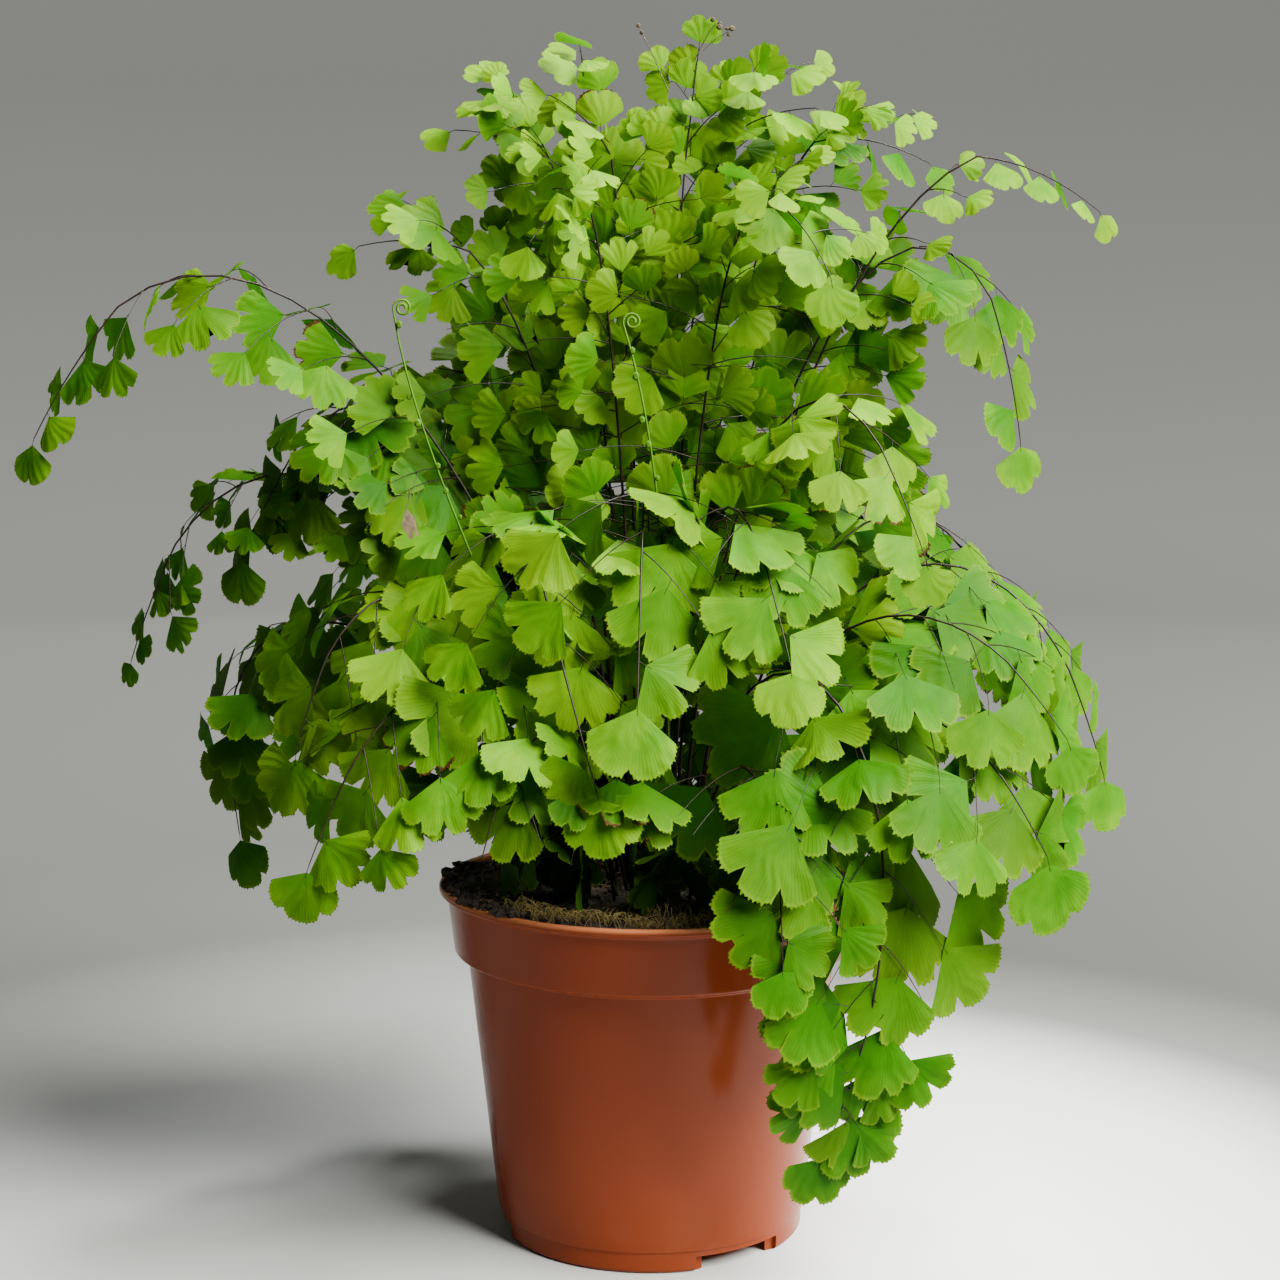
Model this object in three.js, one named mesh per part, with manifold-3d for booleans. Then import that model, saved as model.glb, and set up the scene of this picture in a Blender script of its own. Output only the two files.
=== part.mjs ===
// A potted maidenhair fern: a plastic nursery pot, the soil that fills it, and one solid for each frond.
// Millimetres, +Z up. The photograph looks along +Y, with +X on its right.
// The origin is the centre of the pot's underside, on the surface that the pot stands on.

import * as THREE from "three";
import { mergeVertices } from "three/addons/utils/BufferGeometryUtils.js";
import Module from "manifold-3d";

const wasm = await Module();
wasm.setup();

// Pot sizes: a 13 cm nursery pot
const POT_HEIGHT = 108;
const LIP_RADIUS = 65;
const LIP_THICKNESS = 1.8;
const BAND_TOP_RADIUS = 62.5;
const BAND_FOOT_RADIUS = 60.4;
const BAND_FOOT_HEIGHT = 88.2;
const BODY_TOP_RADIUS = 56.4;
const BODY_TOP_HEIGHT = 84.6;
const BODY_FOOT_RADIUS = 47.5;
const SKIRT_HEIGHT = 6.5;
const FOOT_RADIUS = 45.7;
const WALL = 1.4;
const FLOOR_THICKNESS = 1.5;
const CENTRE_DISC_RADIUS = 28;
const POT_SIDES = 32;
const NOTCH_WIDTH = 30;
const NOTCH_ANGLES = [-55, 65, 185];
const DRAIN_RADIUS = 3.5;
const DRAIN_RING_RADIUS = 37;
const DRAIN_COUNT = 6;

// Soil sizes
const SOIL_TOP = 103.5;
const SOIL_BUMP = 1.6;
const SOIL_GAP = 0.35;
const SOIL_SIDES = 24;
const FLAT_SOIL_RADIUS = 26;
const HOLE_SIDES = 5;
const HOLE_RADIUS = 1.35;
const STIPE_DEPTH = 16;
const HOLE_DEPTH = 17;

// Frond sizes
const STEM_RADIUS = 0.8;
const STEM_STEPS = 6;
const RIB_HALF_WIDTH = 0.6;
const ROOT_HALF_WIDTH = 0.15;
const NECK_HALF_WIDTH = 0.9;
const BLADE_HALF_THICKNESS = 0.34;
const MOST_ROLL = 0.6;
const LIGHT_LEAN = 0.8;
const LIGHT_ROLL = 0.6;
const NODE_GAP = 0.3;
const TIP_SPRIG_SHARE = 0.87;
const TIP_ARCH = 0.5;
const TIP_FACING_SHARE = 0.93;
const ROOT_OVERLAP_SHARE = 0.012;
const MERGE_MM = 0.06;
const SIDE_RIBS = 12;
const RIB_TAPER = 0.45;
const BUILT_SIDE_RIBS = [1, 4, 7, 10];
const BUILT_LOW_RIBS = [1, 6];
const KEPT_BESIDE_TIP = 2;
const KEPT_BESIDE_RIB = [2, 1, 1, 1];
const SIDE_TURNS = [0, 12, -12, 24, -24, 36, -36];
const TIP_TURNS = [0, 5, -5, 10, -10];

// One leaflet seen flat, for a leaflet 1 mm long: x runs along it from its stalk, y runs across it.
// Straight sides widen from the stalk, and a notch cuts the outer edge into two lobes.
const LEAFLET_OUTLINE = [
  [0.48, -0.55],
  [0.97, -0.34],
  [0.8, 0.08],
  [0.9, 0.62],
];
const LEAFLET_NOTCH = 2;

// Every frond rises from its foot on the soil, goes by way of rise and bend, which shape its arch,
// and ends at its tip. leaf and rib are the lengths of its leaflets and of its longest side rib, start
// is the share of its length that is bare stipe, faces is the compass angle that its upper side looks
// to (0 is +X, 90 is +Y), where that isn't the way it leans, and tone runs from young 0 to old 1.
const FRONDS = [
  { name: "long_left", foot: [-9, -1], rise: [-40, -6, 270], bend: [-140, -15, 350], tip: [-180, -22, 244],
    leaf: 17, rib: 36, start: 0.42, tone: 0.45 },
  { name: "mid_left", foot: [-13, 4], rise: [-35, 8, 235], bend: [-135, 6, 280], tip: [-158, 0, 176],
    leaf: 14, rib: 26, start: 0.45, tone: 0.75 },
  { name: "low_left", foot: [-17, -1], rise: [-45, 4, 200], bend: [-150, 15, 225], tip: [-128, 10, 120],
    leaf: 19, rib: 34, start: 0.45, tone: 0.9 },
  { name: "front_left", foot: [-9, -13], rise: [-15, -30, 205], bend: [-70, -75, 205], tip: [-94, -80, 130],
    leaf: 20, rib: 38, start: 0.4, tone: 0.4 },
  { name: "upper_left", foot: [-5, -3], rise: [-20, 2, 250], bend: [-45, 0, 330], tip: [-86, -8, 300],
    leaf: 17, rib: 44, start: 0.42, tone: 0.4 },
  { name: "crown_left", foot: [-4, 8], rise: [-12, 15, 265], bend: [-22, 14, 368], tip: [-58, -2, 334],
    leaf: 14, rib: 44, start: 0.45, tone: 0.2 },
  { name: "crown_middle", foot: [-1, 2], rise: [-8, 6, 275], bend: [-6, -6, 376], tip: [-29, -22, 342],
    leaf: 14, rib: 44, start: 0.45, tone: 0.1 },
  { name: "tallest", foot: [3, -2], rise: [6, -6, 200], bend: [4, -4, 295], tip: [14, 0, 358],
    leaf: 14, rib: 46, start: 0.42, faces: -90, tone: 0.15 },
  { name: "crown_right", foot: [4, 5], rise: [8, 10, 270], bend: [14, 8, 380], tip: [48, -6, 340],
    leaf: 14, rib: 44, start: 0.45, tone: 0.1 },
  { name: "upper_right", foot: [6, 10], rise: [14, 22, 275], bend: [42, 30, 378], tip: [84, 18, 326],
    leaf: 16, rib: 42, start: 0.47, tone: 0.6 },
  { name: "pale_right", foot: [9, -1], rise: [28, -9, 280], bend: [92, -14, 368], tip: [131, -10, 310],
    leaf: 13, rib: 28, start: 0.48, tone: 0.15 },
  { name: "arch_right", foot: [13, 3], rise: [22, 0, 320], bend: [104, -8, 345], tip: [109, -12, 243],
    leaf: 19, rib: 36, start: 0.45, tone: 0.45 },
  { name: "shoulder_right", foot: [7, -7], rise: [15, -20, 255], bend: [50, -50, 300], tip: [76, -60, 212],
    leaf: 18, rib: 36, start: 0.42, tone: 0.3 },
  { name: "outer_right", foot: [16, -1], rise: [35, 0, 230], bend: [115, -8, 238], tip: [136, -12, 143],
    leaf: 20, rib: 38, start: 0.42, tone: 0.45 },
  { name: "mid_right", foot: [14, -6], rise: [25, -15, 195], bend: [80, -45, 225], tip: [118, -50, 160],
    leaf: 22, rib: 40, start: 0.4, tone: 0.5 },
  { name: "low_right", foot: [14, -12], rise: [22, -25, 170], bend: [80, -60, 200], tip: [110, -68, 130],
    leaf: 23, rib: 40, start: 0.38, tone: 0.5 },
  { name: "hanging_front", foot: [6, -16], rise: [20, -40, 255], bend: [95, -95, 165], tip: [49, -70, 46],
    leaf: 24, rib: 32, start: 0.42, tone: 0.5 },
  { name: "rim_front", foot: [10, -17], rise: [14, -35, 165], bend: [35, -82, 180], tip: [35, -94, 106],
    leaf: 21, rib: 32, start: 0.4, tone: 0.55 },
  { name: "centre_front", foot: [1, -11], rise: [0, -20, 245], bend: [-2, -60, 270], tip: [-4, -92, 178],
    leaf: 24, rib: 38, start: 0.4, tone: 0.35 },
  { name: "inner_left", foot: [-4, -8], rise: [-30, -15, 235], bend: [-50, -60, 272], tip: [-15, -88, 152],
    leaf: 19, rib: 36, start: 0.42, tone: 0.3 },
  { name: "bright_left", foot: [-12, -7], rise: [-30, -20, 220], bend: [-88, -42, 228], tip: [-100, -58, 158],
    leaf: 20, rib: 38, start: 0.4, tone: 0.4 },
  { name: "shade_left", foot: [-9, 4], rise: [-35, 5, 250], bend: [-90, 2, 300], tip: [-122, -8, 209],
    leaf: 19, rib: 38, start: 0.42, tone: 0.75 },
  { name: "behind_left", foot: [-8, 12], rise: [-25, 22, 240], bend: [-55, 34, 300], tip: [-88, 24, 242],
    leaf: 19, rib: 38, start: 0.42, tone: 0.7 },
  { name: "top_front", foot: [-1, -5], rise: [-10, -8, 268], bend: [-14, -22, 362], tip: [-34, -44, 300],
    leaf: 16, rib: 42, start: 0.45, tone: 0.25 },
  { name: "top_right", foot: [4, -5], rise: [12, -6, 268], bend: [24, -24, 364], tip: [50, -44, 290],
    leaf: 16, rib: 42, start: 0.45, tone: 0.2 },
  { name: "inner_right", foot: [5, -11], rise: [8, -18, 232], bend: [22, -60, 262], tip: [37, -86, 186],
    leaf: 21, rib: 36, start: 0.4, tone: 0.35 },
  { name: "low_front", foot: [-3, -17], rise: [-8, -32, 165], bend: [-35, -75, 190], tip: [-46, -88, 134],
    leaf: 20, rib: 34, start: 0.4, tone: 0.5 },
];

// The side away from the photograph is filled by rule: outer fronds that arch low, and inner ones
// that stand between them and arch high. Only the fronds of the table turn towards the light, which
// comes from the front.
const BACK_OUTER_ANGLES = [18, 52, 84, 117, 150];
const BACK_OUTER = { footRadius: 15, reach: 122, riseHeight: 225, bendHeight: 262, tipHeight: 164 };
const BACK_INNER_ANGLES = [36, 100, 134];
const BACK_INNER = { footRadius: 10, reach: 74, riseHeight: 258, bendHeight: 345, tipHeight: 266 };
const LOW_ANGLES = [-118, -52, 70, 196];
const LOW = { footRadius: 20, reach: 50, riseHeight: 138, bendHeight: 148, tipHeight: 122 };

const UP = new THREE.Vector3(0, 0, 1);
const LIGHT_SIDE = new THREE.Vector3(0.2, -1, 0);
const radians = THREE.MathUtils.degToRad;
const vector = (list) => new THREE.Vector3(...list);

// The same numbers in the same order on every run, between 0 and 1.
function makeRandom(seed) {
  let state = seed >>> 0;
  return () => {
    state = (Math.imul(state, 1664525) + 1013904223) >>> 0;
    return state / 4294967296;
  };
}

function ruledFrond(name, angle, sizes, looks) {
  const across = Math.cos(radians(angle));
  const back = Math.sin(radians(angle));
  const at = (radius, height) => [radius * across, radius * back, height];
  return {
    name,
    foot: at(sizes.footRadius),
    rise: at(sizes.footRadius + sizes.reach * 0.16, sizes.riseHeight),
    bend: at(sizes.reach * 0.8, sizes.bendHeight),
    tip: at(sizes.reach, sizes.tipHeight),
    lit: 0,
    ...looks,
  };
}

function allFronds() {
  const outer = BACK_OUTER_ANGLES.map((angle, i) =>
    ruledFrond("back_outer_" + (i + 1), angle, BACK_OUTER, { leaf: 20, rib: 38, start: 0.4, tone: 0.5 }),
  );
  const inner = BACK_INNER_ANGLES.map((angle, i) =>
    ruledFrond("back_inner_" + (i + 1), angle, BACK_INNER, { leaf: 18, rib: 38, start: 0.42, tone: 0.35 }),
  );
  const low = LOW_ANGLES.map((angle, i) =>
    ruledFrond("low_" + (i + 1), angle, LOW, {
      leaf: 18,
      rib: 22,
      start: 0.35,
      tone: 1,
      built: BUILT_LOW_RIBS,
    }),
  );
  return [...FRONDS.map((frond) => ({ ...frond, lit: 1 })), ...outer, ...inner, ...low];
}

// three.js geometry as a solid that can be joined and cut, and back again
function solidOf(geometry) {
  const bare = geometry.clone();
  bare.deleteAttribute("normal");
  bare.deleteAttribute("uv");
  const merged = mergeVertices(bare, 1e-4);
  return new wasm.Manifold(
    new wasm.Mesh({
      numProp: 3,
      vertProperties: new Float32Array(merged.attributes.position.array),
      triVerts: new Uint32Array(merged.index.array),
    }),
  );
}

function geometryOf(solid) {
  const { numProp, vertProperties, triVerts } = solid.getMesh();
  const positions = new Float32Array((vertProperties.length / numProp) * 3);
  for (let i = 0; i < positions.length / 3; i++) {
    positions.set(vertProperties.subarray(i * numProp, i * numProp + 3), i * 3);
  }
  const geometry = new THREE.BufferGeometry();
  geometry.setAttribute("position", new THREE.BufferAttribute(positions, 3));
  geometry.setIndex(new THREE.BufferAttribute(new Uint32Array(triVerts), 1));
  geometry.computeVertexNormals();
  return geometry;
}

function meshOf(name, solid, color, roughness) {
  const material = new THREE.MeshStandardMaterial({ color, roughness, metalness: 0 });
  const mesh = new THREE.Mesh(geometryOf(solid), material);
  mesh.name = name;
  return mesh;
}

function lathed(profile, sides) {
  const points = profile.map(([radius, height]) => new THREE.Vector2(radius, height));
  const geometry = new THREE.LatheGeometry(points, sides);
  geometry.rotateX(Math.PI / 2);
  return solidOf(geometry);
}

// The pot: one turned shell with notches in its foot skirt and drainage holes in its floor
function pot() {
  const channelHeight = SKIRT_HEIGHT - FLOOR_THICKNESS;
  let solid = lathed(
    [
      [0, 0],
      [CENTRE_DISC_RADIUS, 0],
      [CENTRE_DISC_RADIUS + 2, channelHeight],
      [FOOT_RADIUS - WALL, channelHeight],
      [FOOT_RADIUS - WALL, 0],
      [FOOT_RADIUS, 0],
      [FOOT_RADIUS + 1, 1],
      [BODY_FOOT_RADIUS - 0.4, SKIRT_HEIGHT - 0.2],
      [BODY_FOOT_RADIUS, SKIRT_HEIGHT + 0.2],
      [BODY_TOP_RADIUS, BODY_TOP_HEIGHT],
      [BAND_FOOT_RADIUS, BAND_FOOT_HEIGHT],
      [BAND_TOP_RADIUS, POT_HEIGHT - LIP_THICKNESS - 1],
      [LIP_RADIUS, POT_HEIGHT - LIP_THICKNESS],
      [LIP_RADIUS, POT_HEIGHT - 0.4],
      [LIP_RADIUS - 0.5, POT_HEIGHT],
      [LIP_RADIUS - 2.6, POT_HEIGHT],
      [BAND_TOP_RADIUS - WALL, POT_HEIGHT - 2.5],
      [BAND_FOOT_RADIUS - WALL, BAND_FOOT_HEIGHT + 0.8],
      [BODY_TOP_RADIUS - WALL, BODY_TOP_HEIGHT + 0.8],
      [BODY_FOOT_RADIUS - WALL, SKIRT_HEIGHT + 1.5],
      [BODY_FOOT_RADIUS - WALL - 1.5, SKIRT_HEIGHT],
      [CENTRE_DISC_RADIUS + 0.6, SKIRT_HEIGHT],
      [CENTRE_DISC_RADIUS - 1.4, FLOOR_THICKNESS],
      [0, FLOOR_THICKNESS],
    ],
    POT_SIDES,
  );
  for (const angle of NOTCH_ANGLES) {
    const notch = new THREE.BoxGeometry(8, NOTCH_WIDTH, SKIRT_HEIGHT);
    notch.translate(FOOT_RADIUS + 1, 0, channelHeight - 0.3 - SKIRT_HEIGHT / 2);
    notch.rotateZ(radians(angle));
    solid = solid.subtract(solidOf(notch));
  }
  for (let i = 0; i < DRAIN_COUNT; i++) {
    const drain = new THREE.CylinderGeometry(DRAIN_RADIUS, DRAIN_RADIUS, SKIRT_HEIGHT, 8);
    drain.rotateX(Math.PI / 2);
    drain.translate(DRAIN_RING_RADIUS, 0, SKIRT_HEIGHT);
    drain.rotateZ((2 * Math.PI * (i + 0.5)) / DRAIN_COUNT);
    solid = solid.subtract(solidOf(drain));
  }
  return solid;
}

// The soil: it fills the pot to just under the lip, with a softly uneven top and a hole for each stipe
function soil(fronds) {
  const gap = SOIL_GAP;
  const bodyFoot = BODY_FOOT_RADIUS - WALL - gap;
  const bodyTop = BODY_TOP_RADIUS - WALL - gap;
  const bandFoot = BAND_FOOT_RADIUS - WALL - gap;
  const points = [
    [0, FLOOR_THICKNESS + gap],
    [CENTRE_DISC_RADIUS - 2, FLOOR_THICKNESS + gap],
    [CENTRE_DISC_RADIUS + 0.2, SKIRT_HEIGHT + gap],
    [bodyFoot - 1.7, SKIRT_HEIGHT + gap],
    [bodyFoot, SKIRT_HEIGHT + 2],
    [bodyTop, BODY_TOP_HEIGHT + 0.8 + gap],
    [bandFoot, BAND_FOOT_HEIGHT + 0.8 + gap],
    [bandFoot + 1.6, SOIL_TOP - 1.5],
    [48, SOIL_TOP],
    [FLAT_SOIL_RADIUS, SOIL_TOP],
    [0, SOIL_TOP],
  ].map(([radius, height]) => new THREE.Vector2(radius, height));
  const turned = new THREE.LatheGeometry(points, SOIL_SIDES);
  turned.rotateX(Math.PI / 2);
  const place = turned.attributes.position;
  for (let i = 0; i < place.count; i++) {
    const x = place.getX(i);
    const y = place.getY(i);
    if (place.getZ(i) > SOIL_TOP - 0.1 && Math.hypot(x, y) > FLAT_SOIL_RADIUS + 1) {
      const wave = Math.sin(x * 0.13 + 1) * Math.cos(y * 0.16 - 0.6);
      place.setZ(i, SOIL_TOP + SOIL_BUMP * wave);
    }
  }
  const holes = fronds.map(({ path }) => {
    const low = path.getPointAt(0);
    const high = path.getPointAt(0.1);
    const along = high.clone().sub(low).normalize();
    const length = HOLE_DEPTH * 2;
    const hole = new THREE.CylinderGeometry(HOLE_RADIUS, HOLE_RADIUS, length, HOLE_SIDES);
    hole.translate(0, length / 2 - (HOLE_DEPTH - STIPE_DEPTH), 0);
    hole.applyQuaternion(new THREE.Quaternion().setFromUnitVectors(new THREE.Vector3(0, 1, 0), along));
    hole.translate(low.x, low.y, low.z);
    return solidOf(hole);
  });
  return solidOf(turned).subtract(wasm.Manifold.union(holes));
}

// A frond's path from the bottom of its hole to its tip
function pathOf(frond) {
  const [x, y] = frond.foot;
  const base = new THREE.Vector3(x, y, SOIL_TOP - STIPE_DEPTH);
  return new THREE.CubicBezierCurve3(base, vector(frond.rise), vector(frond.bend), vector(frond.tip));
}

// The direction that lies at right angles to `along` and closest to `wanted`
function squaredTo(wanted, along) {
  return wanted.clone().addScaledVector(along, -wanted.dot(along)).normalize();
}

// The way a frond's upper side looks at a point of its path
function upperSide(facing, along) {
  const level = new THREE.Vector3().crossVectors(UP, facing);
  const natural = new THREE.Vector3().crossVectors(along, level).normalize();
  const wanted = new THREE.Vector3()
    .addScaledVector(UP, 0.75)
    .addScaledVector(facing, 0.65)
    .addScaledVector(natural, 0.4);
  return squaredTo(wanted, along);
}

// `flat` rolled about `axis` towards `wanted`, by no more than the roll that a leaflet's stalk takes
function rolled(flat, wanted, axis) {
  const across = new THREE.Vector3().crossVectors(axis, flat);
  const full = Math.atan2(wanted.dot(across), wanted.dot(flat));
  const roll = THREE.MathUtils.clamp(full, -MOST_ROLL, MOST_ROLL);
  return flat.clone().multiplyScalar(Math.cos(roll)).addScaledVector(across, Math.sin(roll));
}

// The leaflets along one rib. Each has a place along the rib, a side (-1 left, 1 right, 0 at its end),
// the direction it grows in, the way its upper face looks, and its length.
function leafletsOf(rib, upper, light, size, count, random) {
  const leaflets = [];
  for (let i = 0; i <= count; i++) {
    const last = i === count;
    const share = last ? 1 : (i + 0.75) / (count + 0.6);
    const side = last ? 0 : i % 2 === 0 ? 1 : -1;
    const spread = radians(last ? 0 : 62 + 8 * (random() - 0.5));
    const hang = 0.3 + 0.5 * random();
    const turn = new THREE.Vector3(random() - 0.5, random() - 0.5, random() - 0.5);
    const length = size * (1 - 0.22 * share) * (0.86 + 0.28 * random());
    const place = rib.getPoint(share);
    const along = rib.getTangent(share);
    const face = squaredTo(upper, along);
    const right = new THREE.Vector3().crossVectors(along, face);
    const level = along.clone().multiplyScalar(Math.cos(spread));
    level.addScaledVector(right, side * Math.sin(spread));
    const axis = level.clone().addScaledVector(face, -hang * face.z).normalize();
    const outward = new THREE.Vector3(place.x, place.y, 0).normalize();
    const flat = squaredTo(face, axis);
    const wanted = flat.clone().addScaledVector(outward, 0.5).addScaledVector(light, LIGHT_ROLL);
    wanted.addScaledVector(UP, 0.2).addScaledVector(turn, 0.9);
    leaflets.push({ share, side, axis, length, normal: rolled(flat, squaredTo(wanted, axis), axis) });
  }
  return leaflets;
}

// Every rib of a frond with its leaflets: the end of the midrib first, then the side ribs from the
// lowest up, left and right by turns. They shorten towards the tip.
function sprigsOf(frond, number) {
  const random = makeRandom(4000 + 977 * number);
  const lean = new THREE.Vector3(frond.tip[0] - frond.foot[0], frond.tip[1] - frond.foot[1], 0).normalize();
  const chosen = radians(frond.faces ?? 0);
  const side = frond.faces === undefined ? lean : new THREE.Vector3(Math.cos(chosen), Math.sin(chosen), 0);
  const light = LIGHT_SIDE.clone().multiplyScalar(frond.lit);
  const facing = side.clone().addScaledVector(light, LIGHT_LEAN).normalize();
  const { path } = frond;
  const start = path.getPointAt(TIP_SPRIG_SHARE - ROOT_OVERLAP_SHARE);
  const tip = path.getPointAt(1);
  const along = path.getTangentAt(TIP_SPRIG_SHARE);
  const reach = start.distanceTo(tip);
  const onward = start.clone().addScaledVector(along, reach * 0.5);
  const middle = start.clone().lerp(tip, 0.5).lerp(onward, TIP_ARCH);
  const endRib = new THREE.QuadraticBezierCurve3(start, middle, tip);
  const endSize = frond.leaf * 0.85;
  const endCount = Math.max(2, Math.floor((1.45 * reach) / endSize));
  const upperEnd = upperSide(facing, path.getTangentAt(TIP_FACING_SHARE));
  const sprigs = [
    {
      rib: endRib,
      arched: true,
      upper: upperEnd,
      leaflets: leafletsOf(endRib, upperEnd, light, endSize, endCount, random),
    },
  ];
  for (let i = 0; i < SIDE_RIBS; i++) {
    const height = (i + 0.5 * random()) / SIDE_RIBS;
    const u = frond.start + (TIP_SPRIG_SHARE - 0.02 - frond.start) * height;
    const hand = i % 2 === 0 ? 1 : -1;
    const length = frond.rib * (1 - RIB_TAPER * height) * (0.85 + 0.3 * random());
    const sag = 0.1 + 0.3 * random();
    const origin = path.getPointAt(u);
    const forward = path.getTangentAt(u);
    const upper = upperSide(facing, forward);
    const right = new THREE.Vector3().crossVectors(forward, upper);
    const spread = radians(64 - 12 * height);
    const direction = forward.clone().multiplyScalar(Math.cos(spread));
    direction.addScaledVector(right, hand * Math.sin(spread)).addScaledVector(UP, -0.1).normalize();
    const end = origin.clone().addScaledVector(direction, length).addScaledVector(UP, -sag * length);
    const rib = new THREE.LineCurve3(origin, end);
    const size = frond.leaf * (1 - 0.2 * height);
    const count = Math.max(1, Math.floor((1.6 * (length - 0.4 * size)) / size));
    sprigs.push({ rib, upper, u, leaflets: leafletsOf(rib, upper, light, size, count, random) });
  }
  return sprigs;
}

// One sprig as a thin arched blade whose outline has its leaflets cut to the rib. Both faces are
// split into the same triangles. `shift` moves its root onto the stem's own facets, and `turn` is the
// angle that it is turned about its root, level, to keep clear of its neighbours.
function bladeSolid(sprig, leaflets, shift, turn) {
  const points = [];
  const faces = [];
  const root = sprig.rib.getPoint(0);
  const turning = new THREE.Quaternion().setFromAxisAngle(UP, radians(turn));
  const addPoint = (place, normal) => {
    const turned = place.clone().sub(root).applyQuaternion(turning).add(root).add(shift);
    return points.push({ place: turned, normal: normal.clone().applyQuaternion(turning) }) - 1;
  };
  const addFan = (corners, reversed) => {
    for (let i = 1; i + 1 < corners.length; i++) {
      const [b, c] = reversed ? [corners[i + 1], corners[i]] : [corners[i], corners[i + 1]];
      faces.push([corners[0], b, c]);
    }
  };
  const ribPoint = (share, side, halfWidth = RIB_HALF_WIDTH) => {
    const along = sprig.rib.getTangent(share);
    const face = squaredTo(sprig.upper, along);
    const right = new THREE.Vector3().crossVectors(along, face);
    const place = sprig.rib.getPoint(share).addScaledVector(right, side * halfWidth);
    return addPoint(place, face);
  };
  const length = sprig.rib.getLength();
  const neck = NECK_HALF_WIDTH / length;
  const edges = new Map([
    [-1, [{ share: 0, index: ribPoint(0, -1, ROOT_HALF_WIDTH) }]],
    [1, [{ share: 0, index: ribPoint(0, 1, ROOT_HALF_WIDTH) }]],
  ]);
  const leafletPoints = (leaflet, place) => {
    const across = new THREE.Vector3().crossVectors(leaflet.normal, leaflet.axis);
    const hand = leaflet.side === 0 ? 1 : leaflet.side;
    return LEAFLET_OUTLINE.map(([x, y]) => {
      const spot = place.clone().addScaledVector(leaflet.axis, x * leaflet.length);
      spot.addScaledVector(across, y * hand * leaflet.length);
      return addPoint(spot, leaflet.normal);
    });
  };
  for (const leaflet of leaflets) {
    if (leaflet.side === 0) continue;
    const edge = edges.get(leaflet.side);
    const low = ribPoint(leaflet.share - neck, leaflet.side);
    const high = ribPoint(leaflet.share + neck, leaflet.side);
    edge.push({ share: leaflet.share - neck, index: low });
    edge.push({ share: leaflet.share + neck, index: high });
    const outline = leafletPoints(leaflet, sprig.rib.getPoint(leaflet.share));
    addFan([low, ...outline.slice(0, LEAFLET_NOTCH + 1), high], leaflet.side < 0);
    addFan([high, ...outline.slice(LEAFLET_NOTCH)], leaflet.side < 0);
    if (sprig.arched) {
      const opposite = ribPoint(leaflet.share, -leaflet.side);
      edges.get(-leaflet.side).push({ share: leaflet.share, index: opposite });
    }
  }
  const ends = [-1, 1].map((side) => {
    const index = ribPoint(1, side);
    edges.get(side).push({ share: 1, index });
    return index;
  });
  const last = leaflets.find((leaflet) => leaflet.side === 0);
  if (last) {
    const outline = leafletPoints(last, sprig.rib.getPoint(1));
    addFan([ends[1], ...outline.slice(0, LEAFLET_NOTCH + 1), ends[0]], false);
    addFan([ends[0], ...outline.slice(LEAFLET_NOTCH)], false);
  }
  // The rib's own strip, between its left and right edges
  const [left, right] = [edges.get(-1), edges.get(1)];
  let l = 0;
  let r = 0;
  while (l + 1 < left.length || r + 1 < right.length) {
    const nextLeft = l + 1 < left.length ? left[l + 1].share : Infinity;
    const nextRight = r + 1 < right.length ? right[r + 1].share : Infinity;
    if (nextRight <= nextLeft) {
      faces.push([left[l].index, right[r].index, right[r + 1].index]);
      r++;
    } else {
      faces.push([left[l].index, right[r].index, left[l + 1].index]);
      l++;
    }
  }
  return thickened(points, faces);
}

// A closed solid from a sheet of triangles, thickened along each point's own normal
function thickened(points, faces) {
  const count = points.length;
  const positions = new Float32Array(count * 6);
  points.forEach(({ place, normal }, i) => {
    const top = place.clone().addScaledVector(normal, BLADE_HALF_THICKNESS);
    const bottom = place.clone().addScaledVector(normal, -BLADE_HALF_THICKNESS);
    positions.set(top.toArray(), i * 3);
    positions.set(bottom.toArray(), (count + i) * 3);
  });
  const triangles = [];
  const edges = new Set();
  for (const [a, b, c] of faces) {
    triangles.push(a, b, c, a + count, c + count, b + count);
    [[a, b], [b, c], [c, a]].forEach((edge) => edges.add(edge.join()));
  }
  for (const key of edges) {
    const [a, b] = key.split(",").map(Number);
    if (!edges.has(b + "," + a)) {
      triangles.push(b, a, a + count, b, a + count, b + count);
    }
  }
  return new wasm.Manifold(
    new wasm.Mesh({ numProp: 3, vertProperties: positions, triVerts: new Uint32Array(triangles) }),
  );
}

// The stem: a three-sided tube from the bottom of the soil's hole to where the end sprig begins
class StemPath extends THREE.Curve {
  constructor(path) {
    super();
    this.path = path;
  }
  getPoint(share, target = new THREE.Vector3()) {
    return target.copy(this.path.getPointAt(share * TIP_SPRIG_SHARE));
  }
}

function stemSolid(path) {
  const corners = [0, 1, 2].map((i) => {
    const angle = (2 * Math.PI * i) / 3;
    return new THREE.Vector2(STEM_RADIUS * Math.cos(angle), STEM_RADIUS * Math.sin(angle));
  });
  return solidOf(
    new THREE.ExtrudeGeometry(new THREE.Shape(corners), {
      steps: STEM_STEPS,
      extrudePath: new StemPath(path),
      bevelEnabled: false,
    }),
  );
}

// The shift from a point of the smooth path onto the stem's straight facets
function ontoStem(path, u) {
  const step = (u / TIP_SPRIG_SHARE) * STEM_STEPS;
  const low = Math.min(Math.floor(step), STEM_STEPS - 1);
  const at = (index) => path.getPointAt((index / STEM_STEPS) * TIP_SPRIG_SHARE);
  return at(low)
    .lerp(at(low + 1), step - low)
    .sub(path.getPointAt(u));
}

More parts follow.
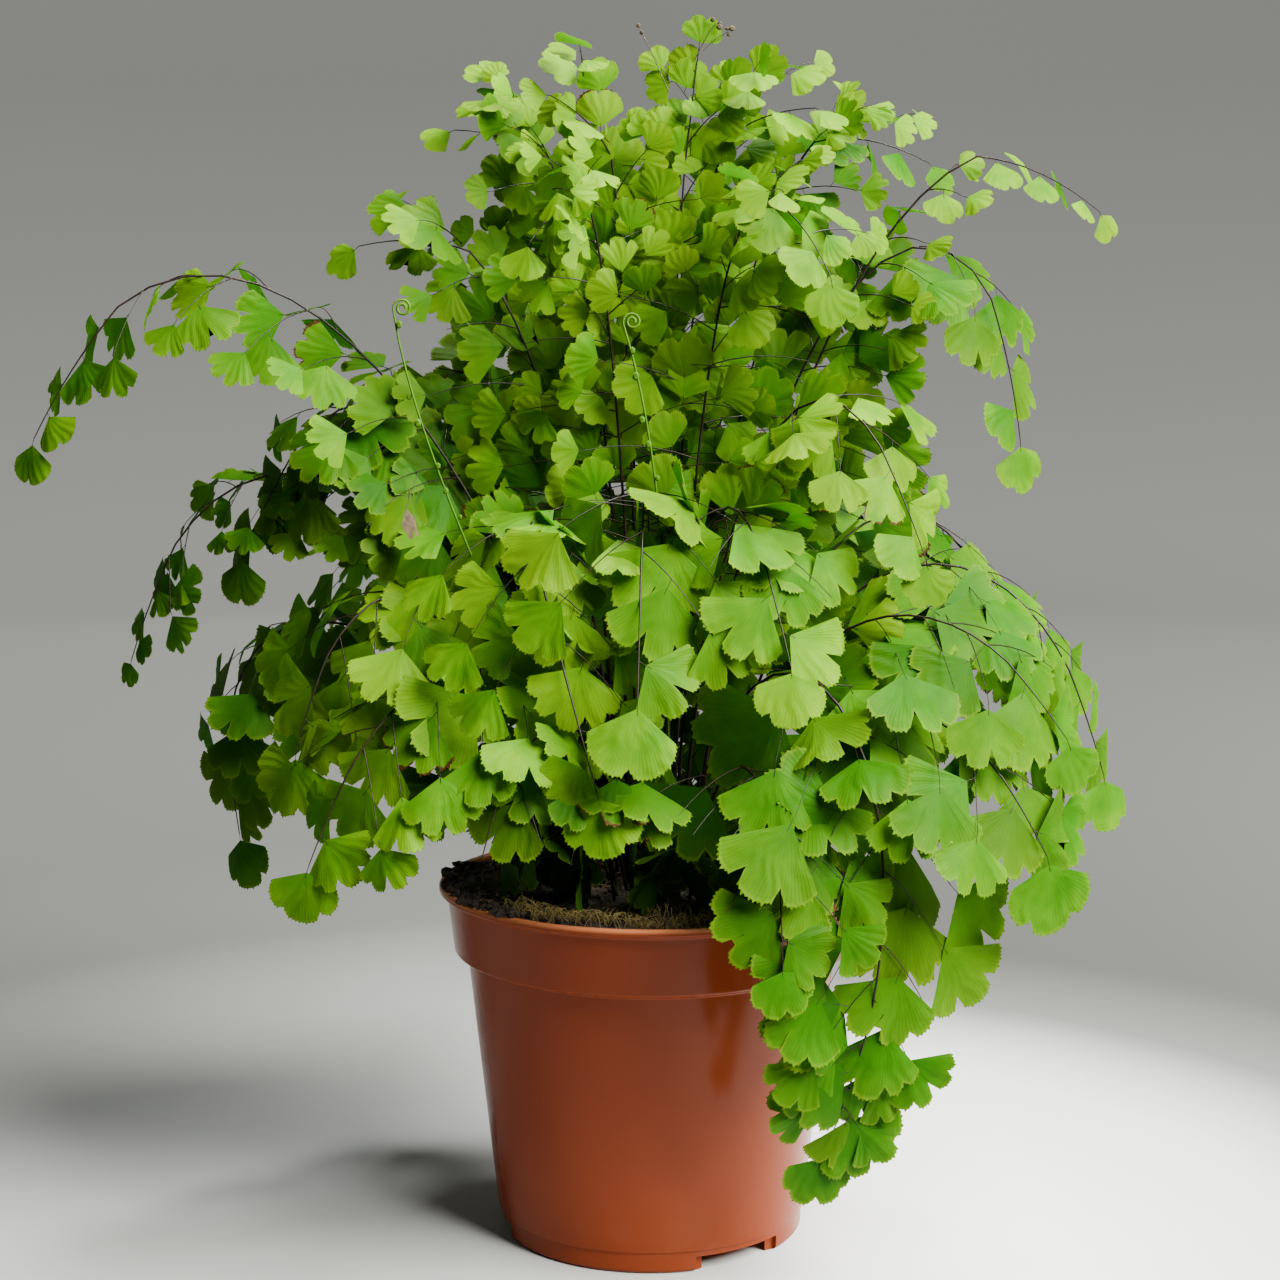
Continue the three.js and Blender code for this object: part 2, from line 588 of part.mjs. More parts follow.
function boundsOf(solid) {
  const { min, max } = solid.boundingBox();
  return new THREE.Box3(vector(min), vector(max));
}

function isClear(solid, others) {
  const reach = boundsOf(solid).expandByScalar(NODE_GAP);
  return others.every(
    (other) => !reach.intersectsBox(other.bounds) || solid.minGap(other.solid, 2 * NODE_GAP) >= NODE_GAP,
  );
}

// The leaflets that a rib keeps: the one at its end, and the ones beside it that share it out evenly
function keptLeaflets(leaflets, sideCount) {
  const beside = leaflets.filter(({ side }) => side !== 0);
  const picked = new Set();
  for (let i = 0; i < sideCount; i++) {
    const share = (i + 0.6) / (sideCount + 0.8);
    const distance = (leaflet) => Math.abs(leaflet.share - share);
    picked.add(beside.reduce((best, leaflet) => (distance(leaflet) < distance(best) ? leaflet : best)));
  }
  return leaflets.filter((leaflet) => leaflet.side === 0 || picked.has(leaflet));
}

// The blade with the most leaflets that keeps clear of the other fronds, turned as little as can be
function clearBlade(sprig, leaflets, shift, turns, others) {
  for (let dropped = 0; dropped <= leaflets.length; dropped++) {
    const sets = dropped
      ? leaflets.map((_, i) => leaflets.filter((_, j) => j < i || j >= i + dropped))
      : [leaflets];
    for (const turn of turns) {
      for (const set of sets) {
        const blade = bladeSolid(sprig, set, shift, turn);
        if (isClear(blade, others)) return blade;
      }
    }
  }
  return null;
}

const fronds = allFronds().map((frond) => ({ ...frond, path: pathOf(frond) }));
const potSolid = pot();
const soilSolid = soil(fronds);
const fixedPieces = [potSolid, soilSolid].map((solid) => ({ solid, bounds: boundsOf(solid) }));
const stems = fronds.map(({ name, path }) => {
  const solid = stemSolid(path);
  return { owner: name, solid, bounds: boundsOf(solid) };
});
stems.forEach((stem, i) => {
  const crossed = stems.slice(0, i).find((other) => !isClear(stem.solid, [other]));
  if (crossed) throw new Error("the stems of " + stem.owner + " and " + crossed.owner + " touch");
});

const blades = [];
fronds.forEach((frond, number) => {
  const sprigs = sprigsOf(frond, number);
  const built = frond.built ?? BUILT_SIDE_RIBS;
  const wanted = [sprigs[0], ...built.map((i) => sprigs[i + 1])];
  wanted.forEach((sprig, i) => {
    const kept = keptLeaflets(sprig.leaflets, i === 0 ? KEPT_BESIDE_TIP : KEPT_BESIDE_RIB[i - 1]);
    const shift = i === 0 ? new THREE.Vector3() : ontoStem(frond.path, sprig.u);
    const turns = i === 0 ? TIP_TURNS : SIDE_TURNS;
    const others = [...fixedPieces, ...stems, ...blades].filter(({ owner }) => owner !== frond.name);
    const found = clearBlade(sprig, kept, shift, turns, others);
    if (!found) return;
    blades.push({ owner: frond.name, solid: found, bounds: boundsOf(found) });
  });
});

const YOUNG_GREEN = new THREE.Color(0xa6cf4f);
const OLD_GREEN = new THREE.Color(0x35701f);
const part = new THREE.Group();
part.add(meshOf("pot", potSolid, 0xa8502f, 0.35));
part.add(meshOf("soil", soilSolid, 0x2b2119, 0.95));
fronds.forEach((frond) => {
  const own = [...stems, ...blades].filter(({ owner }) => owner === frond.name);
  const solid = wasm.Manifold.union(own.map((piece) => piece.solid)).asOriginal().simplify(MERGE_MM);
  part.add(meshOf("frond_" + frond.name, solid, YOUNG_GREEN.clone().lerp(OLD_GREEN, frond.tone), 0.6));
});

export default part;
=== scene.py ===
# %% [markdown]
# # A potted maidenhair fern
#
# A maidenhair fern is a cloud of small fan-shaped leaflets on black, wire-thin stems. This one grows
# in a plain orange-brown nursery pot. The measured model already says where each frond stands and
# how it arches, so this script keeps those routes and gives them real leaflets, thin ribs and
# stalks, a finely turned pot and crumbly soil. Sizes are written in millimetres, as a gardener
# would measure them, and each finished mesh is brought to metres once.

# %% Load the measured model
import bisect
import math

import bmesh
import bpy
from mathutils import Matrix, Vector, noise


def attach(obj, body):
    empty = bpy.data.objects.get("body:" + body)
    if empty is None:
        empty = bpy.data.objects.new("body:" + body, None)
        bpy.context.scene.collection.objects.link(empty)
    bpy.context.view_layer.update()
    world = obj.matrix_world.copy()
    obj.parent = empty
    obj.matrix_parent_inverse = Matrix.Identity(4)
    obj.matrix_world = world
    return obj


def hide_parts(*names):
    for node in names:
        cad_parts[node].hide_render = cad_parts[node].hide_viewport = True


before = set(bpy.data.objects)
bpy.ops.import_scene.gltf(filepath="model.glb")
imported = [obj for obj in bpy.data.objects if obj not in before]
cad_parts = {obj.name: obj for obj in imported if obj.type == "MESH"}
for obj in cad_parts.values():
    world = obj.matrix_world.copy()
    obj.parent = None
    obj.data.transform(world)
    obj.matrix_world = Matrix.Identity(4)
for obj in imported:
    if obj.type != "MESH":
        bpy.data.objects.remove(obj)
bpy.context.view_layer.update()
MM = 0.001
UP = Vector((0, 0, 1))

# %% [markdown]
# ## Small helpers
#
# Every draw comes from one short rule, so that each run grows the same plant. Pieces are shaped as a
# bmesh, Blender's mesh for editing, and then stored. A finished piece sits at the origin with its
# place in its mesh, rides on the pot's body, and hides the measured pieces it stands for.

# %% Repeatable draws
def make_random(seed):
    state = seed

    def draw():
        nonlocal state
        state = (state * 1664525 + 1013904223) % 2**32
        return state / 2**32

    return draw


def between(draw, low, high):
    return low + (high - low) * draw()


# %% Shape and store
def around(angle, radius=1.0):
    return radius * math.cos(angle), radius * math.sin(angle)


def make_smooth(faces):
    for face in faces:
        face.smooth = True


def mesh_from(name, bm):
    mesh = bpy.data.meshes.new(name)
    bm.to_mesh(mesh)
    bm.free()
    return mesh


def add_object(name, data):
    thing = bpy.data.objects.new(name, data)
    bpy.context.scene.collection.objects.link(thing)
    return thing


# %% Finish a piece
def finish_piece(name, bm, materials, replaced=()):
    bmesh.ops.scale(bm, vec=(MM, MM, MM), verts=bm.verts)
    mesh = mesh_from(name, bm)
    for material in materials:
        mesh.materials.append(material)
    piece = add_object(name, mesh)
    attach(piece, "root")
    if replaced:
        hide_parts(*replaced)
    return piece


# %% [markdown]
# ## Materials
#
# A material is a small network of nodes. These helpers keep the networks readable: one adds a node
# and sets its values, others multiply, fade or mix, and the last joins a colour, a shine and a bump
# to the surface. Noise is read in Object coordinates, so a pattern stays with its piece.

# %% Node helpers
def new_material(name):
    material = bpy.data.materials.new(name)
    material.use_nodes = True
    tree = material.node_tree
    return material, tree, tree.nodes["Principled BSDF"]


def feed(tree, socket, value):
    if isinstance(value, bpy.types.NodeSocket):
        tree.links.new(value, socket)
    else:
        socket.default_value = value


def add_node(tree, kind, inputs=None, **settings):
    node = tree.nodes.new("ShaderNode" + kind)
    for key, value in settings.items():
        setattr(node, key, value)
    for key, value in (inputs or {}).items():
        feed(tree, node.inputs[key], value)
    return node


def maths(tree, operation, first, second=0.0):
    node = add_node(tree, "Math", {0: first, 1: second}, operation=operation)
    return node.outputs[0]


def times(tree, value, factor):
    return maths(tree, "MULTIPLY", value, factor)


def mix_colours(tree, share, first, second, blend="MIX"):
    node = add_node(tree, "Mix", {0: share, 6: first, 7: second}, data_type="RGBA", blend_type=blend)
    return node.outputs[2]


def ramp(tree, share, stops):
    node = add_node(tree, "ValToRGB", {0: share})
    elements = node.color_ramp.elements
    while len(elements) < len(stops):
        elements.new(0.5)
    for element, (place, colour) in zip(elements, stops):
        element.position = place
        element.color = (*colour, 1)
    return node.outputs[0]


def fade(tree, value, first, last):
    return ramp(tree, value, [(first, (0, 0, 0)), (last, (1, 1, 1))])


def object_place(tree):
    return add_node(tree, "TexCoord").outputs["Object"]


def object_noise(tree, scale, detail=3.0, roughness=0.55):
    values = {"Vector": object_place(tree), "Scale": scale, "Detail": detail, "Roughness": roughness}
    return add_node(tree, "TexNoise", values).outputs[0]


def finish_surface(tree, surface, colour, roughness, specular, height=None, strength=0.0, depth=0.0):
    feed(tree, surface.inputs["Base Color"], colour)
    feed(tree, surface.inputs["Roughness"], roughness)
    surface.inputs["Specular IOR Level"].default_value = specular
    if height:
        bump = add_node(tree, "Bump", {"Height": height, "Strength": strength, "Distance": depth})
        tree.links.new(bump.outputs[0], surface.inputs["Normal"])


# %% [markdown]
# ### The leaf
#
# A maidenhair leaflet is as thin as paper, so light shines through it: the fans turn a glowing
# yellow-green where the sun stands behind them. That is a mix of a plain glossy surface and a
# translucent one. Fine veins run from the stalk to the rim, so they follow the leaflet's own map:
# U runs across the fan, V from the stalk to the rim. Each leaflet also carries its age, raised as
# painted shade where it lies deep in the bush or near the soil, a tint of its own, how dry its rim is
# and whether a face is on its underside.

# %% Leaf colours
YOUNG_LEAF = (0.205, 0.410, 0.001)
FRESH_LEAF = (0.092, 0.280, 0.001)
GROWN_LEAF = (0.044, 0.200, 0.001)
OLD_LEAF = (0.023, 0.128, 0.001)
PALE_RIM = (0.24, 0.36, 0.01, 1)
DRY_RIM = (0.085, 0.042, 0.012, 1)
HEART_SHADE = (0.55, 0.75, 0.5, 1)
VEIN_SHADE = (0.35, 0.55, 0.3, 1)
YELLOW_TINT = (0.15, 0.20, 0.003, 1)
UNDERSIDE = (0.080, 0.22, 0.004, 1)
LIGHT_THROUGH = (1.7, 1.6, 0.8, 1)
# how strongly each of them shows
RIM_SHARE = 0.42
HEART_SHARE = 0.6
VEIN_SHARE = 0.2
TINT_SHARE = 0.34
UNDER_SHARE = 0.28
THROUGH_SHARE = 0.5
BLOTCH_SHARE = 0.8
PARCHED_FROM = 1.13
# the scale of the mottling, and how many veins and soft pleats a fan has
BLOTCH_SCALE = 110.0
EDGE_SCALE = 240.0
VEINS_ACROSS = 30
PLEATS = 6


def own_value(tree, name):
    return add_node(tree, "Attribute", attribute_name=name).outputs["Fac"]


def leaf_colour(tree, outward, vein):
    blotches = maths(tree, "SUBTRACT", object_noise(tree, BLOTCH_SCALE), 0.5)
    # the age value also holds painted shade, so leaflets deep or low in the bush take the older, darker
    # greens
    grown = maths(tree, "ADD", own_value(tree, "age_and_shade"), times(tree, blotches, BLOTCH_SHARE))
    ages = [(0.0, YOUNG_LEAF), (0.3, FRESH_LEAF), (0.62, GROWN_LEAF), (1.0, OLD_LEAF)]
    green = ramp(tree, grown, ages)
    green = mix_colours(tree, times(tree, own_value(tree, "tint"), TINT_SHARE), green, YELLOW_TINT)
    green = mix_colours(tree, times(tree, vein, VEIN_SHARE), green, VEIN_SHADE, "MULTIPLY")
    heart = ramp(tree, outward, [(0.15, (1, 1, 1)), (0.85, (0, 0, 0))])
    green = mix_colours(tree, times(tree, heart, HEART_SHARE), green, HEART_SHADE, "MULTIPLY")
    rim = ramp(tree, outward, [(0.55, (0, 0, 0)), (0.94, (0.25, 0.25, 0.25)), (0.99, (1, 1, 1))])
    green = mix_colours(tree, times(tree, rim, RIM_SHARE), green, PALE_RIM)
    green = mix_colours(tree, times(tree, own_value(tree, "under"), UNDER_SHARE), green, UNDERSIDE)
    uneven = maths(tree, "ADD", outward, times(tree, object_noise(tree, EDGE_SCALE, 2.0), 0.3))
    parched = maths(tree, "GREATER_THAN", uneven, PARCHED_FROM)
    return mix_colours(tree, times(tree, parched, own_value(tree, "dry")), green, DRY_RIM)


# %% Leaf material
def leaf_material():
    material, tree, surface = new_material("maidenhair_leaf")
    fan = add_node(tree, "SeparateXYZ", {0: add_node(tree, "UVMap", uv_map="fan").outputs[0]})
    across, outward = fan.outputs[0], fan.outputs[1]

    # Veins: lines of even angle, which fade in from the stalk
    wave = maths(tree, "SINE", times(tree, across, VEINS_ACROSS * 2 * math.pi))
    crest = times(tree, maths(tree, "ADD", wave, 1.0), 0.5)
    vein = times(tree, maths(tree, "POWER", crest, 3.0), maths(tree, "POWER", outward, 0.5))
    green = leaf_colour(tree, outward, vein)

    # Soft pleats fan out from the stalk, a little unevenly, with the finer veins on top
    drift = times(tree, object_noise(tree, BLOTCH_SCALE, 0.0), 2.0)
    folds = maths(tree, "ADD", times(tree, across, PLEATS), drift)
    pleat = maths(tree, "SINE", times(tree, folds, 2 * math.pi))
    relief = maths(tree, "ADD", times(tree, pleat, outward), times(tree, vein, 0.35))
    finish_surface(tree, surface, green, 0.5, 0.07, relief, 0.27, 0.5 * MM)

    # Light that shines through takes the leaf's colour, warmer and brighter
    glow_colour = mix_colours(tree, 1.0, green, LIGHT_THROUGH, "MULTIPLY")
    glow = add_node(tree, "BsdfTranslucent", {"Color": glow_colour})
    mixed = add_node(tree, "MixShader", {0: THROUGH_SHARE, 1: surface.outputs[0], 2: glow.outputs[0]})
    tree.links.new(mixed.outputs[0], tree.nodes["Material Output"].inputs["Surface"])
    return material


leaf = leaf_material()
print("leaf nodes", len(leaf.node_tree.nodes))

# %% [markdown]
# ### Stems
#
# The stipes and ribs look like black wire: dark brown, smooth and a little shiny. The two croziers are
# still soft and green, so they have a material of their own, and what has withered is dull brown.
# All three are the same small network: streaks of noise that run between two colours.

# %% Stem materials
def streaked_material(name, streaks, dark, light, roughness, specular):
    material, tree, surface = new_material(name)
    colour = ramp(tree, object_noise(tree, *streaks), [dark, light])
    finish_surface(tree, surface, colour, roughness, specular)
    return material


dark_brown, warm_brown = (0.3, (0.006, 0.004, 0.003)), (0.75, (0.026, 0.013, 0.008))
deep_green, soft_green = (0.3, (0.030, 0.100, 0.003)), (0.8, (0.065, 0.150, 0.006))
dry_brown, dry_tan = (0.35, (0.018, 0.010, 0.003)), (0.65, (0.085, 0.055, 0.012))
wiry = streaked_material("wiry_stem", (260.0, 2.0), dark_brown, warm_brown, 0.42, 0.2)
young_wiry = streaked_material("young_stem", (180.0, 2.0), deep_green, soft_green, 0.45, 0.12)
withered = streaked_material("withered_leaf", (500.0, 4.0, 0.65), dry_brown, dry_tan, 0.8, 0.5)

# %% [markdown]
# ### Pot and soil
#
# The pot is moulded plastic with a soft shine. Fine noise in its roughness and a little dust near its
# foot keep it from looking like a perfect computer surface, and a lighter line along the top of the lip
# is a painted highlight. The soil is peat: nearly black, rough, with lighter crumbs, and dull golden
# moss grows on it at the front.

# %% Pot material
DEEP_TERRACOTTA = (0.160, 0.026, 0.007)
WARM_TERRACOTTA = (0.205, 0.036, 0.010)
DUST = (0.18, 0.085, 0.05, 1)
PAINTED_LIP_HIGHLIGHT = (0.62, 0.20, 0.08, 1)
POT_TOP = 108 * MM
DUST_TOP = 30 * MM
DUST_SHARE = 0.35
LIP_HIGHLIGHT_SHARE = 0.8


def pot_material():
    material, tree, surface = new_material("terracotta_plastic")
    height = add_node(tree, "SeparateXYZ", {0: object_place(tree)}).outputs[2]
    colour = ramp(tree, object_noise(tree, 14.0, 3.0), [(0.3, DEEP_TERRACOTTA), (0.75, WARM_TERRACOTTA)])
    near_foot = ramp(tree, times(tree, height, 1 / DUST_TOP), [(0.0, (1, 1, 1)), (1.0, (0, 0, 0))])
    dusty = times(tree, fade(tree, object_noise(tree, 55.0, 6.0, 0.7), 0.5, 0.8), near_foot)
    colour = mix_colours(tree, times(tree, dusty, DUST_SHARE), colour, DUST)
    # painted highlight: a lighter orange line along the top of the lip stands in for the light it catches
    lip_highlight = fade(tree, times(tree, height, 1 / POT_TOP), 0.988, 0.996)
    colour = mix_colours(tree, times(tree, lip_highlight, LIP_HIGHLIGHT_SHARE), colour, PAINTED_LIP_HIGHLIGHT)
    rough = ramp(tree, object_noise(tree, 38.0, 5.0, 0.65), [(0.3, (0.16,) * 3), (0.8, (0.30,) * 3)])
    finish_surface(tree, surface, colour, rough, 0.09, object_noise(tree, 900.0, 2.0), 0.08, 0.2 * MM)
    return material


# %% Soil and moss materials
PEAT_BROWNS = [(0.32, (0.006, 0.004, 0.003)), (0.55, (0.030, 0.019, 0.011)), (0.78, (0.085, 0.055, 0.030))]
MOSS_GOLDS = [(0.3, (0.035, 0.024, 0.007)), (0.55, (0.20, 0.14, 0.035)), (0.85, (0.10, 0.13, 0.02))]


def soil_material():
    material, tree, surface = new_material("peat")
    clods = object_noise(tree, 160.0, 6.0, 0.7)
    finish_surface(tree, surface, ramp(tree, clods, PEAT_BROWNS), 0.92, 0.5, clods, 0.9, 1.2 * MM)
    return material


def moss_material():
    material, tree, surface = new_material("golden_moss")
    finish_surface(tree, surface, ramp(tree, object_noise(tree, 300.0, 3.0), MOSS_GOLDS), 0.85, 0.5)
    return material


terracotta = pot_material()
peat = soil_material()
moss = moss_material()

# %% [markdown]
# ## The routes of the fronds
#
# These are the same fronds as in the measured model: where each one leaves the soil, how it rises
# and bends, where its tip hangs, and how long its leaflets and side ribs are. Repeating the routes
# and the rule that places the leaflets makes the fine fronds fall where the plain ones are. Only the
# tones of some fronds and how far a leaflet may roll towards the light are this script's own. A tone
# runs from 0 for a young pale frond to 1 for an old dark one. It is partly the frond's age and partly
# painted shade, so fronds that grow low or on the shaded left are given darker tones.

# %% Frond table
SOIL_TOP = 103.5
STIPE_DEPTH = 16
LIGHT_LEAN = 0.8
LIGHT_SIDE = Vector((0.2, -1, 0))

# name, foot, rise, bend, tip, leaflet length, rib length, bare share, tone with painted shade and, for
# one, facing angle
FRONDS = [
    ("long_left", (-9, -1), (-40, -6, 270), (-140, -15, 350), (-180, -22, 244), 17, 36, 0.42, 0.45),
    ("mid_left", (-13, 4), (-35, 8, 235), (-135, 6, 280), (-158, 0, 176), 14, 26, 0.45, 0.75),
    ("low_left", (-17, -1), (-45, 4, 200), (-150, 15, 225), (-128, 10, 120), 19, 34, 0.45, 0.9),
    ("front_left", (-9, -13), (-15, -30, 205), (-70, -75, 205), (-94, -80, 130), 20, 38, 0.4, 0.3),
    ("upper_left", (-5, -3), (-20, 2, 250), (-45, 0, 330), (-86, -8, 300), 17, 44, 0.42, 0.4),
    ("crown_left", (-4, 8), (-12, 15, 265), (-22, 14, 368), (-58, -2, 334), 14, 44, 0.45, 0.2),
    ("crown_middle", (-1, 2), (-8, 6, 275), (-6, -6, 376), (-29, -22, 342), 14, 44, 0.45, 0.1),
    ("tallest", (3, -2), (6, -6, 200), (4, -4, 295), (14, 0, 358), 14, 46, 0.42, 0.15, -90),
    ("crown_right", (4, 5), (8, 10, 270), (14, 8, 380), (48, -6, 340), 14, 44, 0.45, 0.1),
    ("upper_right", (6, 10), (14, 22, 275), (42, 30, 378), (84, 18, 326), 16, 42, 0.47, 0.6),
    ("pale_right", (9, -1), (28, -9, 280), (92, -14, 368), (131, -10, 310), 13, 28, 0.48, 0.15),
    ("arch_right", (13, 3), (22, 0, 320), (104, -8, 345), (109, -12, 243), 19, 36, 0.45, 0.5),
    ("shoulder_right", (7, -7), (15, -20, 255), (50, -50, 300), (76, -60, 212), 18, 36, 0.42, 0.12),
    ("outer_right", (16, -1), (35, 0, 230), (115, -8, 238), (136, -12, 143), 20, 38, 0.42, 0.55),
    ("mid_right", (14, -6), (25, -15, 195), (80, -45, 225), (118, -50, 160), 22, 40, 0.4, 0.6),
    ("low_right", (14, -12), (22, -25, 170), (80, -60, 200), (110, -68, 130), 23, 40, 0.38, 0.6),
    ("hanging_front", (6, -16), (20, -40, 255), (95, -95, 165), (49, -70, 46), 24, 32, 0.42, 0.65),
    ("rim_front", (10, -17), (14, -35, 165), (35, -82, 180), (35, -94, 106), 21, 32, 0.4, 0.65),
    ("centre_front", (1, -11), (0, -20, 245), (-2, -60, 270), (-4, -92, 178), 24, 38, 0.4, 0.3),
    ("inner_left", (-4, -8), (-30, -15, 235), (-50, -60, 272), (-15, -88, 152), 19, 36, 0.42, 0.2),
    ("bright_left", (-12, -7), (-30, -20, 220), (-88, -42, 228), (-100, -58, 158), 20, 38, 0.4, 0.2),
    ("shade_left", (-9, 4), (-35, 5, 250), (-90, 2, 300), (-122, -8, 209), 19, 38, 0.42, 0.75),
    ("behind_left", (-8, 12), (-25, 22, 240), (-55, 34, 300), (-88, 24, 242), 19, 38, 0.42, 0.7),
    ("top_front", (-1, -5), (-10, -8, 268), (-14, -22, 362), (-34, -44, 300), 16, 42, 0.45, 0.25),
    ("top_right", (4, -5), (12, -6, 268), (24, -24, 364), (50, -44, 290), 16, 42, 0.45, 0.2),
    ("inner_right", (5, -11), (8, -18, 232), (22, -60, 262), (37, -86, 186), 21, 36, 0.4, 0.3),
    ("low_front", (-3, -17), (-8, -32, 165), (-35, -75, 190), (-46, -88, 134), 20, 34, 0.4, 0.75),
]

# The far side is filled by rule, with rings of fronds at set compass angles: foot radius, reach, and
# the heights of rise, bend and tip, then leaflet length, rib length, bare share and tone, which is
# partly painted shade: the low ring is darkest
RINGS = {
    "back_outer": ((18, 52, 84, 117, 150), (15, 122, 225, 262, 164), (20, 38, 0.4, 0.5)),
    "back_inner": ((36, 100, 134), (10, 74, 258, 345, 266), (18, 38, 0.42, 0.35)),
    "low": ((-118, -52, 70, 196), (20, 50, 138, 148, 122), (18, 22, 0.35, 1.0)),
}


# %% Read the table into fronds
def frond_from(name, foot, rise, bend, tip, leaf_mm, rib_mm, start, tone, faces=None, light_pull=1.0):
    lean = Vector((tip[0] - foot[0], tip[1] - foot[1], 0)).normalized()
    if faces is not None:
        lean = Vector((*around(math.radians(faces)), 0))
    light = LIGHT_SIDE * light_pull
    base = Vector((foot[0], foot[1], SOIL_TOP - STIPE_DEPTH))
    return {
        "name": name,
        "path": [base, Vector(rise), Vector(bend), Vector(tip)],
        "facing": (lean + light * LIGHT_LEAN).normalized(),
        "light": light,
        "leaf": leaf_mm,
        "rib": rib_mm,
        "start": start,
        "tone": tone,
    }


def ring_fronds(ring):
    angles, (foot_radius, reach, rise, bend, tip), looks = RINGS[ring]
    made = []
    for i, angle in enumerate(angles):
        x, y = around(math.radians(angle))
        at = [(radius * x, radius * y, height) for radius, height in (
            (foot_radius, 0), (foot_radius + reach * 0.16, rise), (reach * 0.8, bend), (reach, tip))]
        made.append(frond_from(f"{ring}_{i + 1}", *at, *looks, light_pull=0.0))
    return made


fronds = [frond_from(*row) for row in FRONDS]
for ring in RINGS:
    fronds += ring_fronds(ring)
print("fronds", len(fronds))

# %% [markdown]
# ## Curves
#
# A frond's midrib is a smooth curve with four control points. `bezier` finds a point on such a
# curve by going the same share of the way between its control points again and again, and `even`
# turns a share of the length into the curve's own share, so that ribs are spaced evenly. `upper_side`
# says which way a frond's upper face looks, `squared_to` brings a direction square to a line, and
# `rolled` turns a leaflet about its own axis, by a set angle at most.

# %% Curve helpers
DIVISIONS = 200
LEVEL_PULL = 0.75
FACING_PULL = 0.65
NATURAL_PULL = 0.4
MOST_ROLL = 1.2


def bezier(points, share):
    while len(points) > 1:
        points = [a.lerp(b, share) for a, b in zip(points, points[1:])]
    return points[0]


def heading(points, share):
    return bezier([b - a for a, b in zip(points, points[1:])], share).normalized()


def lengths_along(points):
    spots = [bezier(points, i / DIVISIONS) for i in range(DIVISIONS + 1)]
    lengths = [0.0]
    for a, b in zip(spots, spots[1:]):
        lengths.append(lengths[-1] + (b - a).length)
    return lengths


def even(lengths, share):
    target = share * lengths[-1]
    i = min(bisect.bisect_right(lengths, target) - 1, DIVISIONS - 1)
    return (i + (target - lengths[i]) / (lengths[i + 1] - lengths[i])) / DIVISIONS


def squared_to(wanted, along):
    return (wanted - along * wanted.dot(along)).normalized()


def upper_side(facing, along):
    natural = along.cross(UP.cross(facing)).normalized()
    return squared_to(UP * LEVEL_PULL + facing * FACING_PULL + natural * NATURAL_PULL, along)


def rolled(flat, wanted, axis):
    across = axis.cross(flat)
    roll = math.atan2(wanted.dot(across), wanted.dot(flat))
    roll = max(-MOST_ROLL, min(MOST_ROLL, roll))
    return flat * math.cos(roll) + across * math.sin(roll)


# %% [markdown]
# ## Where the leaflets grow
#
# Leaflets stand left and right by turns along each rib, with one at its end. They spread sideways,
# hang a little, and each rolls a little towards the light. The draws come in the same order as in
# the measured model. A real frond also has smaller ribs between these, so a second table fills the
# crown, the left side, the foot, the hanging tip and the back. Their draws come after a frond's own.

# %% Leaflets along one rib
SPREAD_DEGREES = 62
SPREAD_RANGE = 8
LEAST_HANG = 0.3
MORE_HANG = 0.5
SHRINK_TO_END = 0.22
LIGHT_ROLL = 1.0
OUTWARD_ROLL = 0.5
UPWARD_ROLL = 0.2
UNEVEN_ROLL = 0.9


def leaflets_of(rib, upper, light, size, count, draw):
    made = []
    for i in range(count + 1):
        last = i == count
        share = 1.0 if last else (i + 0.75) / (count + 0.6)
        side = 0 if last else (1 if i % 2 == 0 else -1)
        spread = 0.0 if last else math.radians(SPREAD_DEGREES + SPREAD_RANGE * (draw() - 0.5))
        hang = LEAST_HANG + MORE_HANG * draw()
        turn = Vector((draw() - 0.5, draw() - 0.5, draw() - 0.5))
        length = size * (1 - SHRINK_TO_END * share) * (0.86 + 0.28 * draw())
        place = bezier(rib, share)
        along = heading(rib, share)
        face = squared_to(upper, along)
        right = along.cross(face)
        level = along * math.cos(spread) + right * (side * math.sin(spread))
        axis = (level - face * (hang * face.z)).normalized()
        outward = Vector((place.x, place.y, 0)).normalized()
        flat = squared_to(face, axis)
        wanted = flat + outward * OUTWARD_ROLL + light * LIGHT_ROLL + UP * UPWARD_ROLL + turn * UNEVEN_ROLL
        normal = rolled(flat, squared_to(wanted, axis), axis)
        made.append({
            "place": place, "side": side, "axis": axis, "normal": normal, "length": length, "share": share,
        })
    return made


# %% Smaller ribs that fill a frond
FILL_CROWDING = 1.9
FILL_SAG = 0.12
CROWN = ("crown_left", "crown_middle", "tallest", "crown_right", "top_front", "top_right", "upper_right")
# which fronds, the shares of the frond where the ribs start and end, how many, how long, how steeply
# they rise, the size of their leaflets and their tone, which is partly painted shade: the fills low,
# at the back and on the shaded left are darkest
FILLS = [
    (CROWN, 0.66, 0.97, 8, 16, 0.4, 11, 0.0),
    (("upper_left", "crown_left"), 0.62, 0.97, 5, 24, 0.2, 15, 0.3),
    (("shade_left", "behind_left"), 0.45, 0.80, 4, 24, 0.05, 18, 0.8),
    (("mid_left",), 0.55, 0.92, 4, 18, 0.0, 15, 0.85),
    (("low_1", "low_2", "low_3", "low_4"), 0.35, 0.80, 8, 24, 0.35, 17, 0.95),
    (("hanging_front",), 0.86, 0.96, 4, 8, 0.0, 17, 0.6),
    (("back_inner_1", "back_inner_2", "back_inner_3"), 0.18, 0.46, 7, 28, 0.1, 19, 0.9),
]


